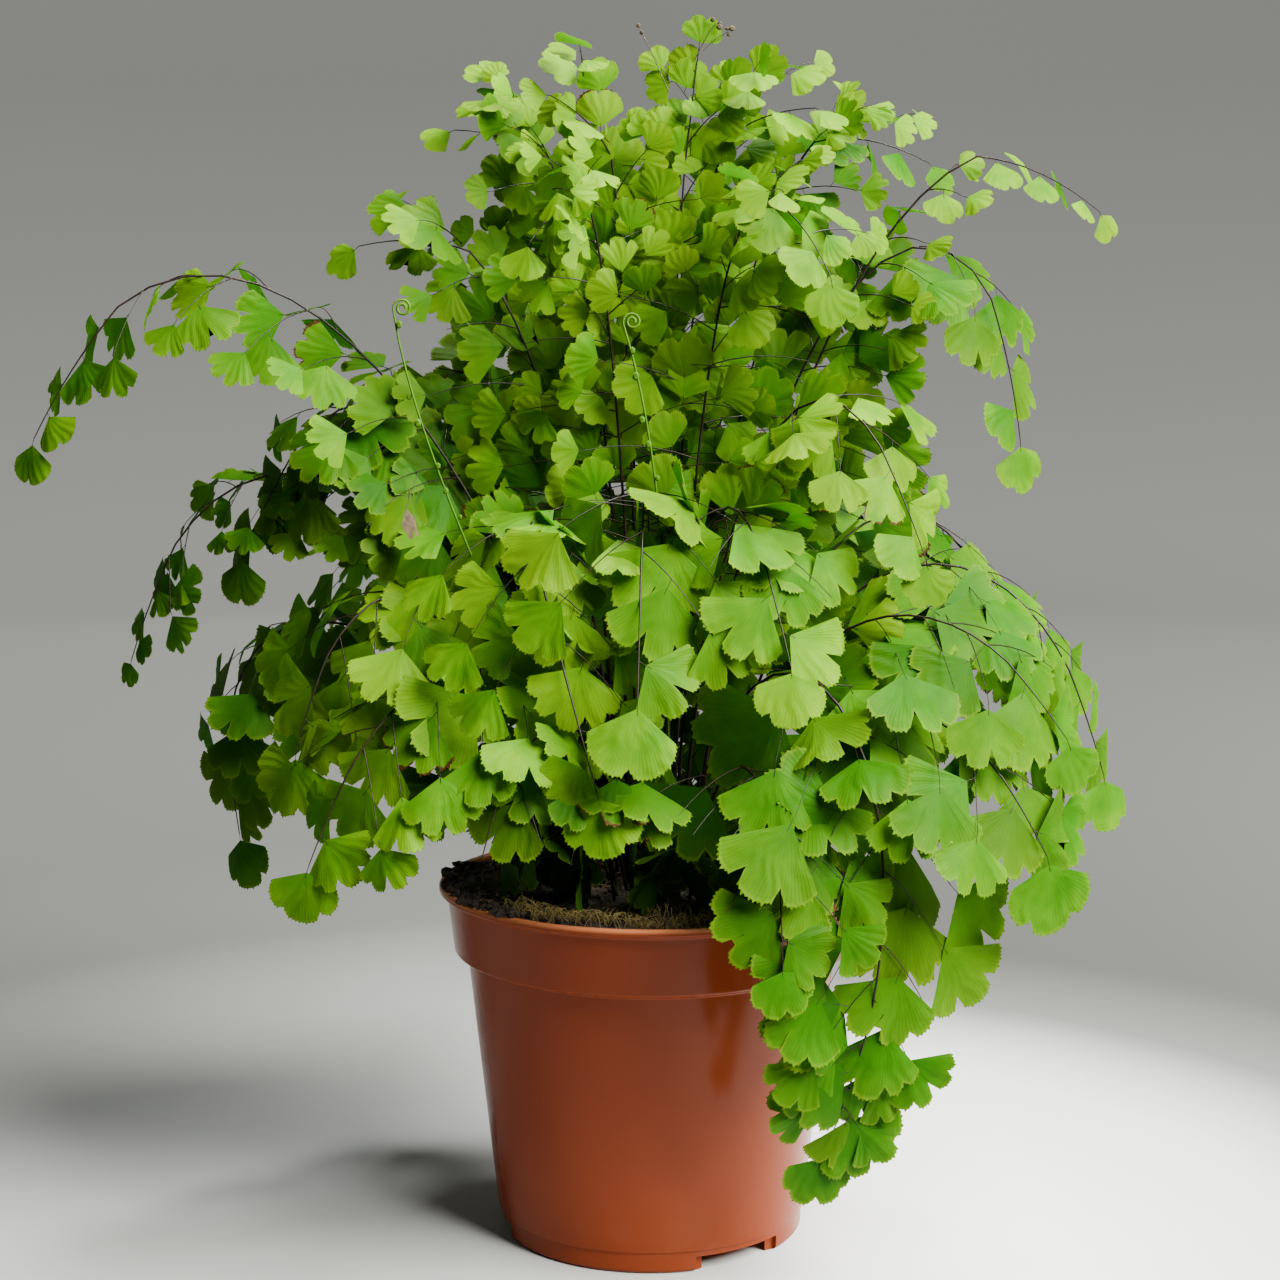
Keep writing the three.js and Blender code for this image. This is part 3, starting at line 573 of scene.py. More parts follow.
def filling_sprigs(frond, draw):
    path, facing = frond["path"], frond["facing"]
    lengths = lengths_along(path)
    made = []
    for names, first, last, count, length, rise, size, tone in FILLS:
        for i in range(count if frond["name"] in names else 0):
            t = even(lengths, first + (last - first) * (i + 0.6 * draw()) / count)
            origin, forward = bezier(path, t), heading(path, t)
            upper = upper_side(facing, forward)
            side = 1 if i % 2 == 0 else -1
            aside = side * between(draw, 0.4, 0.9)
            direction = forward * 0.45 + forward.cross(upper) * aside + UP * rise
            reach = length * between(draw, 0.7, 1.15)
            rib = [origin, origin + direction.normalized() * reach - UP * (FILL_SAG * reach)]
            leaves = max(1, round(FILL_CROWDING * reach / size))
            leaflets = leaflets_of(rib, upper, frond["light"], size, leaves, draw)
            made.append({"rib": rib, "leaflets": leaflets, "tone": tone})
    return made


# %% Ribs of one frond
TIP_SPRIG_SHARE = 0.87
ROOT_OVERLAP_SHARE = 0.012
TIP_ARCH = 0.5
TIP_FACING_SHARE = 0.93
SIDE_RIBS = 12
RIB_TAPER = 0.45
RIB_SPREAD_DEGREES = 64
RIB_SPREAD_LOSS = 12
RIB_DROOP = 0.1
END_LEAF_SHARE = 0.85
END_CROWDING = 1.45
SIDE_CROWDING = 1.6


def sprigs_of(frond, number):
    draw = make_random(4000 + 977 * number)
    path, facing = frond["path"], frond["facing"]
    lengths = lengths_along(path)
    start = bezier(path, even(lengths, TIP_SPRIG_SHARE - ROOT_OVERLAP_SHARE))
    tip = path[-1]
    along = heading(path, even(lengths, TIP_SPRIG_SHARE))
    reach = (tip - start).length
    middle = start.lerp(tip, 0.5).lerp(start + along * (reach * 0.5), TIP_ARCH)
    end_rib = [start, middle, tip]
    end_size = frond["leaf"] * END_LEAF_SHARE
    end_count = max(2, math.floor(END_CROWDING * reach / end_size))
    upper_end = upper_side(facing, heading(path, even(lengths, TIP_FACING_SHARE)))
    light = frond["light"]
    tip_leaflets = leaflets_of(end_rib, upper_end, light, end_size, end_count, draw)
    sprigs = [{"rib": end_rib, "leaflets": tip_leaflets}]
    for i in range(SIDE_RIBS):
        height = (i + 0.5 * draw()) / SIDE_RIBS
        u = frond["start"] + (TIP_SPRIG_SHARE - 0.02 - frond["start"]) * height
        side = 1 if i % 2 == 0 else -1
        length = frond["rib"] * (1 - RIB_TAPER * height) * (0.85 + 0.3 * draw())
        sag = 0.1 + 0.3 * draw()
        t = even(lengths, u)
        origin, forward = bezier(path, t), heading(path, t)
        upper = upper_side(facing, forward)
        right = forward.cross(upper)
        spread = math.radians(RIB_SPREAD_DEGREES - RIB_SPREAD_LOSS * height)
        direction = forward * math.cos(spread) + right * (side * math.sin(spread)) - UP * RIB_DROOP
        direction.normalize()
        rib = [origin, origin + direction * length - UP * (sag * length)]
        size = frond["leaf"] * (1 - 0.2 * height)
        count = max(1, math.floor(SIDE_CROWDING * (length - 0.4 * size) / size))
        sprigs.append({"rib": rib, "leaflets": leaflets_of(rib, upper, light, size, count, draw)})
    return sprigs + filling_sprigs(frond, draw)


for number, frond in enumerate(fronds):
    frond["sprigs"] = sprigs_of(frond, number)
print("leaflets planned", sum(len(s["leaflets"]) for f in fronds for s in f["sprigs"]))

# %% [markdown]
# ## A leaflet
#
# Seen flat, a leaflet is a fan: straight sides from the stalk, and an outer edge cut into lobes with
# small teeth. A short line spun round the stalk's end makes the fan. Its rim is pushed in where a
# notch parts two lobes, each rim edge is split so that every other point can stand out as a tooth,
# and the sheet is cupped and waved. A flipped copy, welded at the rim, closes it into a thin solid.
# Twelve outlines, each cupped in two ways and in a left and a right hand, are enough, because every
# leaf turns and scales its copy.

# %% Fan and rim
FAN_STEPS = 16
RIM_PARTS = 4
MIDDLE_RING = 0.55
SHOULDER_BEND = 2.9
TOOTH = 0.034
NOTCH_WIDTH_STEPS = 0.55


def fan_sheet(opening, first):
    bm = bmesh.new()
    line = [bm.verts.new((r * math.cos(first), r * math.sin(first), 0)) for r in (0.0, MIDDLE_RING, 1.0)]
    edges = [bm.edges.new(pair) for pair in zip(line, line[1:])]
    bmesh.ops.spin(bm, geom=line + edges, cent=(0, 0, 0), axis=(0, 0, 1), angle=opening, steps=FAN_STEPS)
    bmesh.ops.remove_doubles(bm, verts=bm.verts, dist=1e-5)
    rim = [e for e in bm.edges if all(v.co.length > 0.99 for v in e.verts)]
    bmesh.ops.subdivide_edges(bm, edges=rim, cuts=RIM_PARTS - 1)
    bmesh.ops.recalc_face_normals(bm, faces=bm.faces)
    if bm.faces[:][0].normal.z < 0:
        bmesh.ops.reverse_faces(bm, faces=bm.faces)
    return bm


def rim_reach(step, shoulders, notches, depths, phase):
    off_centre = 2 * step / FAN_STEPS - 1
    reach = 1.0 - shoulders[off_centre > 0] * abs(off_centre) ** SHOULDER_BEND
    if round(step * RIM_PARTS) % 2:
        reach += TOOTH * (1 + 0.5 * math.sin(7.3 * step + 6 * phase))
    for notch, depth in zip(notches, depths):
        reach -= depth * math.exp(-(((step - notch) / NOTCH_WIDTH_STEPS) ** 2))
        reach -= 0.3 * depth * math.exp(-(((step - notch) / (3 * NOTCH_WIDTH_STEPS)) ** 2))
    return reach


# %% One leaflet
LEAF_THICKNESS = 0.02


def leaflet_mesh(name, opening, lean, shoulders, notches, depths, cup, curl, wave, phase):
    opening = math.radians(opening)
    first = math.radians(lean) - opening / 2
    bm = fan_sheet(opening, first)
    fan = bm.loops.layers.uv.new("fan")
    under = bm.faces.layers.float.new("under")
    for layer in ("age_and_shade", "tint", "dry"):
        bm.faces.layers.float.new(layer)
    shares = {v: (math.atan2(v.co.y, v.co.x) - first) / opening for v in bm.verts if v.co.length > 1e-4}
    for face in bm.faces:
        middle = sum(shares.get(v, 0) for v in face.verts) / sum(v in shares for v in face.verts)
        for loop in face.loops:
            loop[fan].uv = (shares.get(loop.vert, middle), min(loop.vert.co.length, 1.0))
    for v in shares:
        if v.co.length > 0.9:
            v.co *= rim_reach(shares[v] * FAN_STEPS, shoulders, notches, depths, phase) / v.co.length
    for v in bm.verts:
        r, s = v.co.length, shares.get(v, 0.5)
        ripple = math.sin(2 * math.pi * (1.7 * s + phase))
        v.co.z = -cup * (2 * s - 1) ** 2 * r - curl * r * r + wave * r * r * ripple

    # A flipped copy, pushed down inside the rim and welded along it, closes the sheet
    rim = {v for e in bm.edges if e.is_boundary for v in e.verts}
    copied = bmesh.ops.duplicate(bm, geom=list(bm.verts) + list(bm.edges) + list(bm.faces))
    bottom = [f for f in copied["geom"] if isinstance(f, bmesh.types.BMFace)]
    bmesh.ops.reverse_faces(bm, faces=bottom)
    twins = copied["vert_map"]
    for v in shares:
        if v not in rim:
            twins[v].co.z -= LEAF_THICKNESS
    for face in bottom:
        face[under] = 1.0
    bmesh.ops.remove_doubles(bm, verts=bm.verts, dist=1e-5)
    for edge in bm.edges:
        edge.smooth = abs(sum((-1) ** i * f[under] for i, f in enumerate(edge.link_faces))) < 0.5
    make_smooth(bm.faces)
    return mesh_from(name, bm)


def other_hand(mesh):
    bm = bmesh.new()
    bm.from_mesh(mesh)
    bmesh.ops.scale(bm, vec=(1, -1, 1), verts=bm.verts)
    bmesh.ops.reverse_faces(bm, faces=bm.faces)
    return mesh_from(mesh.name + "_left", bm)


# %% A set of leaflets
shape_draw = make_random(71)
# opening and lean in degrees, how far the lower and the upper shoulder fall back, the steps at which
# a notch parts two lobes, and how deep each notch is
SIDE_SHAPES = [
    (118, 14, (0.12, 0.22), (4, 8, 12), (0.14, 0.22, 0.15)),
    (104, 20, (0.08, 0.20), (5, 10, 13), (0.17, 0.15, 0.10)),
    (130, 8, (0.16, 0.26), (3.5, 7.5, 12), (0.10, 0.36, 0.12)),
    (92, 16, (0.06, 0.16), (5, 11), (0.16, 0.22)),
    (134, 6, (0.20, 0.28), (3, 6, 10, 13), (0.11, 0.17, 0.19, 0.11)),
    (112, 14, (0.10, 0.22), (6, 11), (0.28, 0.18)),
]
END_SHAPES = [
    (116, 0, (0.18, 0.18), (4, 8, 12), (0.14, 0.22, 0.14)),
    (98, 0, (0.14, 0.14), (5, 11), (0.18, 0.20)),
    (126, 0, (0.20, 0.20), (3, 7, 11), (0.12, 0.30, 0.14)),
]
YOUNG_SHAPES = [
    (138, 8, (0.30, 0.38), (5, 11), (0.10, 0.13)),
    (116, 6, (0.26, 0.32), (8,), (0.12,)),
    (152, 8, (0.32, 0.40), (4, 8, 12), (0.08, 0.15, 0.08)),
]


def shape_set(kind, shapes):
    made = []
    for i, (opening, lean, shoulders, notches, depths) in enumerate(shapes):
        for variant in range(2):
            cup = between(shape_draw, -0.06, 0.18)
            curl = between(shape_draw, 0.02, 0.18)
            wave = between(shape_draw, 0.02, 0.08)
            name = f"{kind}_{i}_{variant}"
            form = (opening, lean, shoulders, notches, depths, cup, curl, wave, shape_draw())
            right = leaflet_mesh(name, *form)
            made.append({1: right, -1: other_hand(right)})
    return made


side_leaflets = shape_set("side", SIDE_SHAPES)
end_leaflets = shape_set("end", END_SHAPES)
young_leaflets = shape_set("young", YOUNG_SHAPES)
print("faces in a leaflet", len(side_leaflets[0][1].polygons))

# %% [markdown]
# ## Stems, ribs and stalks
#
# A tube along a line is what Blender's curves do best: each line becomes a spline whose points
# carry a radius, and the bevel rounds it. One curve holds all the thin lines of a frond. It is then
# turned into a mesh, so that leaves and stem can be one piece, as they are on the plant.

# %% Tubes along lines
def tube_mesh(name, lines, roundness):
    curve = bpy.data.curves.new(name, "CURVE")
    curve.dimensions = "3D"
    curve.bevel_depth = 1.0
    curve.bevel_resolution = roundness
    curve.use_fill_caps = True
    for line in lines:
        spline = curve.splines.new("POLY")
        spline.points.add(len(line) - 1)
        for point, (place, radius) in zip(spline.points, line):
            point.co = (*place, 1)
            point.radius = radius
    holder = bpy.data.objects.new(name, curve)
    mesh = bpy.data.meshes.new_from_object(holder)
    bpy.data.objects.remove(holder)
    bpy.data.curves.remove(curve)
    return mesh


def add_tubes(bm, name, lines, roundness, material_index):
    mesh = tube_mesh(name, lines, roundness)
    count = len(bm.faces)
    bm.from_mesh(mesh)
    bpy.data.meshes.remove(mesh)
    bm.faces.ensure_lookup_table()
    for face in bm.faces[count:]:
        face.material_index = material_index
    make_smooth(bm.faces[count:])


# %% [markdown]
# ## Growing a frond
#
# The stem runs from inside the soil to the frond's tip and thins on its way. Ribs branch off it,
# bulging slightly upwards, and hair-thin stalks hold the leaflets off the ribs. Each leaflet is a
# copy of one of the shapes, turned to its own direction and given an age and a tint. Leaflets that
# lie deep in the bush or close to the soil get painted shade: their age is raised, so they take
# darker greens. Some deep ones are left out, and so are those that would hide the front of the rim
# or droop too low at the right. The leaflets of broad fronds grow a little longer than the measured
# ones, because the real ones overlap like roof tiles.

# %% Stem and rib lines
STEM_STEPS = 26
STEM_RADIUS = 0.62
STEM_END_RADIUS = 0.3
HAIR_RADIUS = 0.16
RIB_RADIUS = 0.22
RIB_BULGE = 0.07


def stem_line(frond):
    path = frond["path"]
    lengths = lengths_along(path)
    line = []
    for i in range(STEM_STEPS + 1):
        share = i / STEM_STEPS * (TIP_SPRIG_SHARE - ROOT_OVERLAP_SHARE)
        place = bezier(path, even(lengths, share))
        line.append((place, STEM_RADIUS + (STEM_END_RADIUS - STEM_RADIUS) * share / TIP_SPRIG_SHARE))
    rib = frond["sprigs"][0]["rib"]
    for i in range(1, 9):
        line.append((bezier(rib, i / 8), STEM_END_RADIUS + (HAIR_RADIUS - STEM_END_RADIUS) * i / 8))
    return line


def bulge_at(rib, share):
    return UP * (RIB_BULGE * (rib[-1] - rib[0]).length * 4 * share * (1 - share))


def rib_line(rib):
    shares = [i / 5 for i in range(6)]
    return [(bezier(rib, s) + bulge_at(rib, s), RIB_RADIUS * (1 - 0.5 * s)) for s in shares]


# %% Light and shade in the bush
BUSH_CENTRE = Vector((0, 0, 195))
BUSH_RADII = (130, 100, 175)
# where the foot of the bush lies in shade: its top, how slowly it fades in, its radius and its fade
LOW_TOP, LOW_FADE, LOW_RADIUS, LOW_SIDE_FADE = 172, 38, 105, 25
# what stays open: the front of the rim, and the air low at the right of a slanting line
RIM_LEFT, RIM_RIGHT, RIM_FRONT, RIM_TOP = -62, 33, -38, 148
AIR_START, AIR_SLANT, AIR_TOP = 45, 0.35, 128


def buried(place):
    offset = place - BUSH_CENTRE
    share = math.sqrt(sum((along / radius) ** 2 for along, radius in zip(offset, BUSH_RADII)))
    return max(0.0, 1 - share)


def low_shade(place):
    below = max(0.0, min(1.0, (LOW_TOP - place.z) / LOW_FADE))
    within = max(0.0, min(1.0, (LOW_RADIUS - math.hypot(place.x, place.y)) / LOW_SIDE_FADE))
    return below * within


def in_the_way(place):
    hides_rim = RIM_LEFT < place.x < RIM_RIGHT and place.y < RIM_FRONT and place.z < RIM_TOP
    droops = place.x > AIR_START + AIR_SLANT * place.z and place.z < AIR_TOP
    return hides_rim or droops


# %% Place one leaflet
GROWTH = (1.0, 1.2)
NARROW_LEAF = 16
BROAD_LEAF = 20
BROAD_GROWTH = 0.24
TIP_GROWTH = 0.85
SPRAY_TIP_HEIGHT = 78
STALK_RADIUS = 0.11
STALK_SHARE = 0.15
AGE_RANGE = 0.2
END_YOUTH = 0.12
# painted shade: how much darker leaflets deep in the bush and low by the soil are made
DEEP_PAINTED_SHADE = 0.3
LOW_PAINTED_SHADE = 0.6
DRY_SHARE = 0.02


def growth_of(frond, place, draw):
    broadness = max(0.0, min(1.0, (frond["leaf"] - NARROW_LEAF) / (BROAD_LEAF - NARROW_LEAF)))
    growth = between(draw, *GROWTH) * (1 + BROAD_GROWTH * broadness)
    return growth * (TIP_GROWTH if place.z < SPRAY_TIP_HEIGHT else 1)


def add_leaflet(bm, leaflet, shapes, shift, tone, growth, draw):
    shape = shapes[int(draw() * len(shapes)) % len(shapes)]
    hand = leaflet["side"] or (1 if draw() < 0.5 else -1)
    mesh = shape[hand]
    axis, normal = leaflet["axis"], leaflet["normal"]
    across = normal.cross(axis)
    length = leaflet["length"]
    base = leaflet["place"] + shift + axis * (STALK_SHARE * length)
    turning = Matrix((axis, across, normal)).transposed().to_4x4()
    size = length * (1 - STALK_SHARE) * growth
    placing = Matrix.Translation(base) @ turning @ Matrix.Scale(size, 4)
    verts_before, faces_before = len(bm.verts), len(bm.faces)
    bm.from_mesh(mesh)
    bm.verts.ensure_lookup_table()
    bm.faces.ensure_lookup_table()
    bmesh.ops.transform(bm, matrix=placing, verts=bm.verts[verts_before:])
    age_and_shade = tone + between(draw, -AGE_RANGE, AGE_RANGE) - END_YOUTH * leaflet["share"]
    # painted shade: leaflets deep in the bush or low by the soil get a higher age, so they are darker
    age_and_shade += DEEP_PAINTED_SHADE * buried(base) + LOW_PAINTED_SHADE * low_shade(base)
    tint = draw() ** 2
    dry = 1.0 if draw() < DRY_SHARE else 0.0
    for name, value in (("age_and_shade", age_and_shade), ("tint", tint), ("dry", dry)):
        layer = bm.faces.layers.float[name]
        for face in bm.faces[faces_before:]:
            face[layer] = value
    return [(leaflet["place"] + shift, STALK_RADIUS), (base + axis * (0.1 * size), STALK_RADIUS * 0.7)]


# %% Grow one frond
SMALL_LEAF = 17
THINNED = 0.3
YOUNG_TONE = 0.25
YOUNG_END = 0.7


def grow_frond(frond, number):
    draw = make_random(90000 + 131 * number)
    bm = bmesh.new()
    bm.from_mesh(side_leaflets[0][1])
    bmesh.ops.delete(bm, geom=list(bm.verts), context="VERTS")
    thin_lines = []
    young = frond["tone"] < YOUNG_TONE and frond["leaf"] < SMALL_LEAF
    for i, sprig in enumerate(frond["sprigs"]):
        rib = sprig["rib"]
        if i:
            thin_lines.append(rib_line(rib))
        for leaflet in sprig["leaflets"]:
            if draw() < THINNED * 2 * buried(leaflet["place"]) or in_the_way(leaflet["place"]):
                continue
            shift = bulge_at(rib, leaflet["share"]) if i else Vector()
            if young or (i == 0 and leaflet["share"] > YOUNG_END):
                shapes = young_leaflets
            else:
                shapes = end_leaflets if leaflet["side"] == 0 else side_leaflets
            # a tone is partly painted shade, darker for fronds low down and on the shaded left
            tone = sprig.get("tone", frond["tone"])
            growth = growth_of(frond, leaflet["place"], draw)
            thin_lines.append(add_leaflet(bm, leaflet, shapes, shift, tone, growth, draw))
    add_tubes(bm, "thin", thin_lines, 0, 1)
    add_tubes(bm, "stem", [stem_line(frond)], 1, 1)
    node = "frond_" + frond["name"]
    return finish_piece("fern_" + frond["name"], bm, [leaf, wiry], [node])


grown = [grow_frond(frond, number) for number, frond in enumerate(fronds)]
print("frond pieces", len(grown), "faces", sum(len(p.data.polygons) for p in grown))

# %% [markdown]
# ## Croziers
#
# New fronds push up as pale green threads with a rolled tip, the crozier, which opens last. Two of
# them stand in front of the bush. Each is one tube that runs up a curve and then winds inwards in a
# flat spiral; tiny buds sit along its upper part.

# %% Croziers
CROZIERS = [
    ((-7, -12), (-30, -52, 170), (-64, -66, 235), (-71, -60, 281)),
    ((2, -14), (8, -48, 170), (4, -62, 240), (-8, -54, 277)),
]
CROZIER_RADIUS = 0.42
ROLL_RADIUS = 2.6
ROLL_TURNS = 1.6
ROLL_CLOSING = 0.72
THREAD_STEPS = 22
ROLL_STEPS = 24
BUD_COUNT = 7


def crozier_line(path):
    lengths = lengths_along(path)
    line = []
    for share in (i / THREAD_STEPS for i in range(THREAD_STEPS + 1)):
        line.append((bezier(path, even(lengths, share)), CROZIER_RADIUS * (1 - 0.3 * share)))
    along = heading(path, 1.0)
    inward = squared_to(Vector((1, 0, -0.2)), along)
    centre = path[-1] + inward * ROLL_RADIUS
    for share in (i / ROLL_STEPS for i in range(1, ROLL_STEPS + 1)):
        back, up = around(2 * math.pi * ROLL_TURNS * share, ROLL_RADIUS * (1 - ROLL_CLOSING * share))
        line.append((centre - inward * back + along * up, CROZIER_RADIUS * (0.75 + 0.35 * share)))
    return line


def add_buds(bm, path, draw):
    lengths = lengths_along(path)
    for i in range(BUD_COUNT):
        t = even(lengths, 0.62 + 0.36 * (i + draw()) / BUD_COUNT)
        place, along = bezier(path, t), heading(path, t)
        aside = squared_to(Vector((draw() - 0.5, draw() - 0.8, draw() - 0.3)), along)
        made = bmesh.ops.create_icosphere(bm, subdivisions=1, radius=between(draw, 0.6, 1.3))
        bmesh.ops.scale(bm, vec=(1, 0.7, 1.3), verts=made["verts"])
        bmesh.ops.translate(bm, vec=place + aside * 1.2, verts=made["verts"])


crozier_bm = bmesh.new()
bud_draw = make_random(321)
crozier_paths = [[Vector((*foot, SOIL_TOP - 6)), *map(Vector, rest)] for foot, *rest in CROZIERS]
for path in crozier_paths:
    add_buds(crozier_bm, path, bud_draw)
add_tubes(crozier_bm, "croziers", [crozier_line(path) for path in crozier_paths], 1, 0)
crozier_piece = finish_piece("young_croziers", crozier_bm, [young_wiry])
print("crozier faces", len(crozier_piece.data.polygons))

# %% [markdown]
# ## Withered bits
#
# A few leaflets dried up as they opened: dark curls on hair-thin stalks at the very top, and one tan
# leaf that still hangs at the left. They are squeezed balls and one small folded leaflet.

# %% Withered bits
# foot of the stalk and the dry curl at its end
DRY_TIPS = [
    ((13, 0, 355), (19, -1, 365)),
    ((15, 0, 357), (22.5, 0, 362.5)),
    ((5, -3, 345), (-3.5, -3, 363)),
]
DEAD_LEAF_PLACE = Vector((-69, -52, 226))
DEAD_LEAF_LENGTH = 9
DEAD_LEAF_STALK = Vector((3, 3, 9))


def add_dead_leaf(bm):
    bm.from_mesh(end_leaflets[0][1])
    folding = Matrix.Rotation(math.radians(68), 4, "Y") @ Matrix.Rotation(math.radians(35), 4, "X")
    size = Matrix.Diagonal((DEAD_LEAF_LENGTH, DEAD_LEAF_LENGTH * 0.55, DEAD_LEAF_LENGTH, 1))
    bmesh.ops.transform(bm, matrix=Matrix.Translation(DEAD_LEAF_PLACE) @ folding @ size, verts=bm.verts)
    return [(DEAD_LEAF_PLACE + DEAD_LEAF_STALK, 0.14), (DEAD_LEAF_PLACE, 0.12)]


def add_dry_curl(bm, foot, curl, draw):
    for _ in range(3):
        made = bmesh.ops.create_icosphere(bm, subdivisions=1, radius=between(draw, 0.6, 1.1))
        bmesh.ops.scale(bm, vec=(1, 0.6, between(draw, 0.7, 1.2)), verts=made["verts"])
        aside = Vector((draw() - 0.5, draw() - 0.5, draw() - 0.5)) * 2.4
        bmesh.ops.translate(bm, vec=curl + aside, verts=made["verts"])
    return [(foot, 0.16), (foot.lerp(curl, 0.6) + UP * 0.8, 0.13), (curl, 0.12)]


dry_draw = make_random(808)
dry_bm = bmesh.new()
dry_stalks = [add_dead_leaf(dry_bm)]
for foot, curl in DRY_TIPS:
    dry_stalks.append(add_dry_curl(dry_bm, Vector(foot), Vector(curl), dry_draw))
add_tubes(dry_bm, "dry", dry_stalks, 0, 0)
dry_piece = finish_piece("withered_bits", dry_bm, [withered])
print("withered faces", len(dry_piece.data.polygons))

# %% [markdown]
# ## The pot
#
# The pot is turned: its section is drawn once, its corners are rounded, and the line is spun a full
# turn about the axis. Three shallow notches in the foot skirt and six drainage holes are then cut.

# %% Pot sizes
POT_HEIGHT = 108
LIP_RADIUS = 65
LIP_THICKNESS = 1.8
BAND_TOP_RADIUS = 62.5
BAND_FOOT_RADIUS = 60.4
BAND_FOOT_HEIGHT = 88.2
BODY_TOP_RADIUS = 56.4
BODY_TOP_HEIGHT = 84.6
BODY_FOOT_RADIUS = 47.5
SKIRT_HEIGHT = 6.5
FOOT_RADIUS = 45.7
WALL = 1.4
FLOOR_THICKNESS = 1.5
CENTRE_DISC_RADIUS = 28
CHANNEL_HEIGHT = SKIRT_HEIGHT - FLOOR_THICKNESS
POT_STEPS = 128
NOTCH_ANGLES = (-55, 65, 185)
NOTCH_WIDTH = 30
DRAIN_HOLES = 6
DRAIN_RING_RADIUS = 37
DRAIN_RADIUS = 3.5

# radius, height and the rounding of each corner of the pot's section
POT_SECTION = [
    (0, 0, 0),
    (CENTRE_DISC_RADIUS, 0, 0.4),
    (CENTRE_DISC_RADIUS + 2, CHANNEL_HEIGHT, 0.4),
    (FOOT_RADIUS - WALL, CHANNEL_HEIGHT, 0.3),
    (FOOT_RADIUS - WALL, 0, 0.3),
    (FOOT_RADIUS, 0, 0.5),
    (FOOT_RADIUS + 1, 1, 0.4),
    (BODY_FOOT_RADIUS - 0.8, SKIRT_HEIGHT - 0.1, 0.2),
    (BODY_FOOT_RADIUS, SKIRT_HEIGHT + 0.3, 0.25),
    (BODY_TOP_RADIUS, BODY_TOP_HEIGHT + 1.4, 0.4),
    (BAND_FOOT_RADIUS, BAND_FOOT_HEIGHT - 0.5, 0.6),
    (BAND_TOP_RADIUS, POT_HEIGHT - LIP_THICKNESS - 1, 0.7),
    (LIP_RADIUS, POT_HEIGHT - LIP_THICKNESS, 0.4),
    (LIP_RADIUS, POT_HEIGHT - 0.4, 0.3),
    (LIP_RADIUS - 0.5, POT_HEIGHT, 0.2),
    (LIP_RADIUS - 2.6, POT_HEIGHT, 0.6),
    (BAND_TOP_RADIUS - WALL, POT_HEIGHT - 2.5, 0.6),
    (BAND_FOOT_RADIUS - WALL, BAND_FOOT_HEIGHT + 0.8, 1.0),
    (BODY_TOP_RADIUS - WALL, BODY_TOP_HEIGHT + 0.8, 1.0),
    (BODY_FOOT_RADIUS - WALL, SKIRT_HEIGHT + 1.5, 0.5),
    (BODY_FOOT_RADIUS - WALL - 1.5, SKIRT_HEIGHT, 0.5),
    (CENTRE_DISC_RADIUS + 0.6, SKIRT_HEIGHT, 0.4),
    (CENTRE_DISC_RADIUS - 1.4, FLOOR_THICKNESS, 0.4),
    (0, FLOOR_THICKNESS, 0),
]


# %% Spin a section
def spun(section, steps):
    bm = bmesh.new()
    verts = [bm.verts.new((radius, 0, height)) for radius, height, _ in section]
    for pair in zip(verts, verts[1:]):
        bm.edges.new(pair)
    for vert, (_, _, rounding) in zip(verts, section):
        if rounding:
            bmesh.ops.bevel(
                bm, geom=[vert], offset=rounding, segments=3, profile=0.5, affect="VERTICES", material=-1
            )
    line = list(bm.verts) + list(bm.edges)
    turn = {"cent": (0, 0, 0), "axis": (0, 0, 1), "angle": 2 * math.pi}
    bmesh.ops.spin(bm, geom=line, steps=steps, use_merge=True, **turn)
    bmesh.ops.remove_doubles(bm, verts=bm.verts, dist=1e-3)
    bmesh.ops.recalc_face_normals(bm, faces=bm.faces)
    return bm


def cut(piece, cutter_bm):
    bmesh.ops.scale(cutter_bm, vec=(MM, MM, MM), verts=cutter_bm.verts)
    cutter = add_object("cutter", mesh_from("cutter", cutter_bm))
    modifier = piece.modifiers.new("cut", "BOOLEAN")
    modifier.operation = "DIFFERENCE"
    modifier.solver = "EXACT"
    modifier.object = cutter
    depsgraph = bpy.context.evaluated_depsgraph_get()
    made = bpy.data.meshes.new_from_object(piece.evaluated_get(depsgraph))
    piece.modifiers.clear()
    piece.data = made
    bpy.data.objects.remove(cutter)


# %% Make the pot
pot = finish_piece("nursery_pot", spun(POT_SECTION, POT_STEPS), [terracotta], ["pot"])
cutters = bmesh.new()
for angle in NOTCH_ANGLES:
    turning = Matrix.Rotation(math.radians(angle), 4, "Z")
    place = Vector((FOOT_RADIUS + 1, 0, CHANNEL_HEIGHT - 0.3 - SKIRT_HEIGHT / 2))
    placing = turning @ Matrix.Translation(place) @ Matrix.Diagonal((8, NOTCH_WIDTH, SKIRT_HEIGHT, 1))
    bmesh.ops.create_cube(cutters, size=1, matrix=placing)
for i in range(DRAIN_HOLES):
    place = Vector((*around(2 * math.pi * (i + 0.5) / DRAIN_HOLES, DRAIN_RING_RADIUS), SKIRT_HEIGHT))
    bmesh.ops.create_cone(
        cutters, cap_ends=True, segments=24, radius1=DRAIN_RADIUS, radius2=DRAIN_RADIUS,
        depth=SKIRT_HEIGHT, matrix=Matrix.Translation(place),
    )
cut(pot, cutters)
pot.data.shade_smooth()
pot.data.set_sharp_from_angle(angle=math.radians(40))
print("pot faces", len(pot.data.polygons))

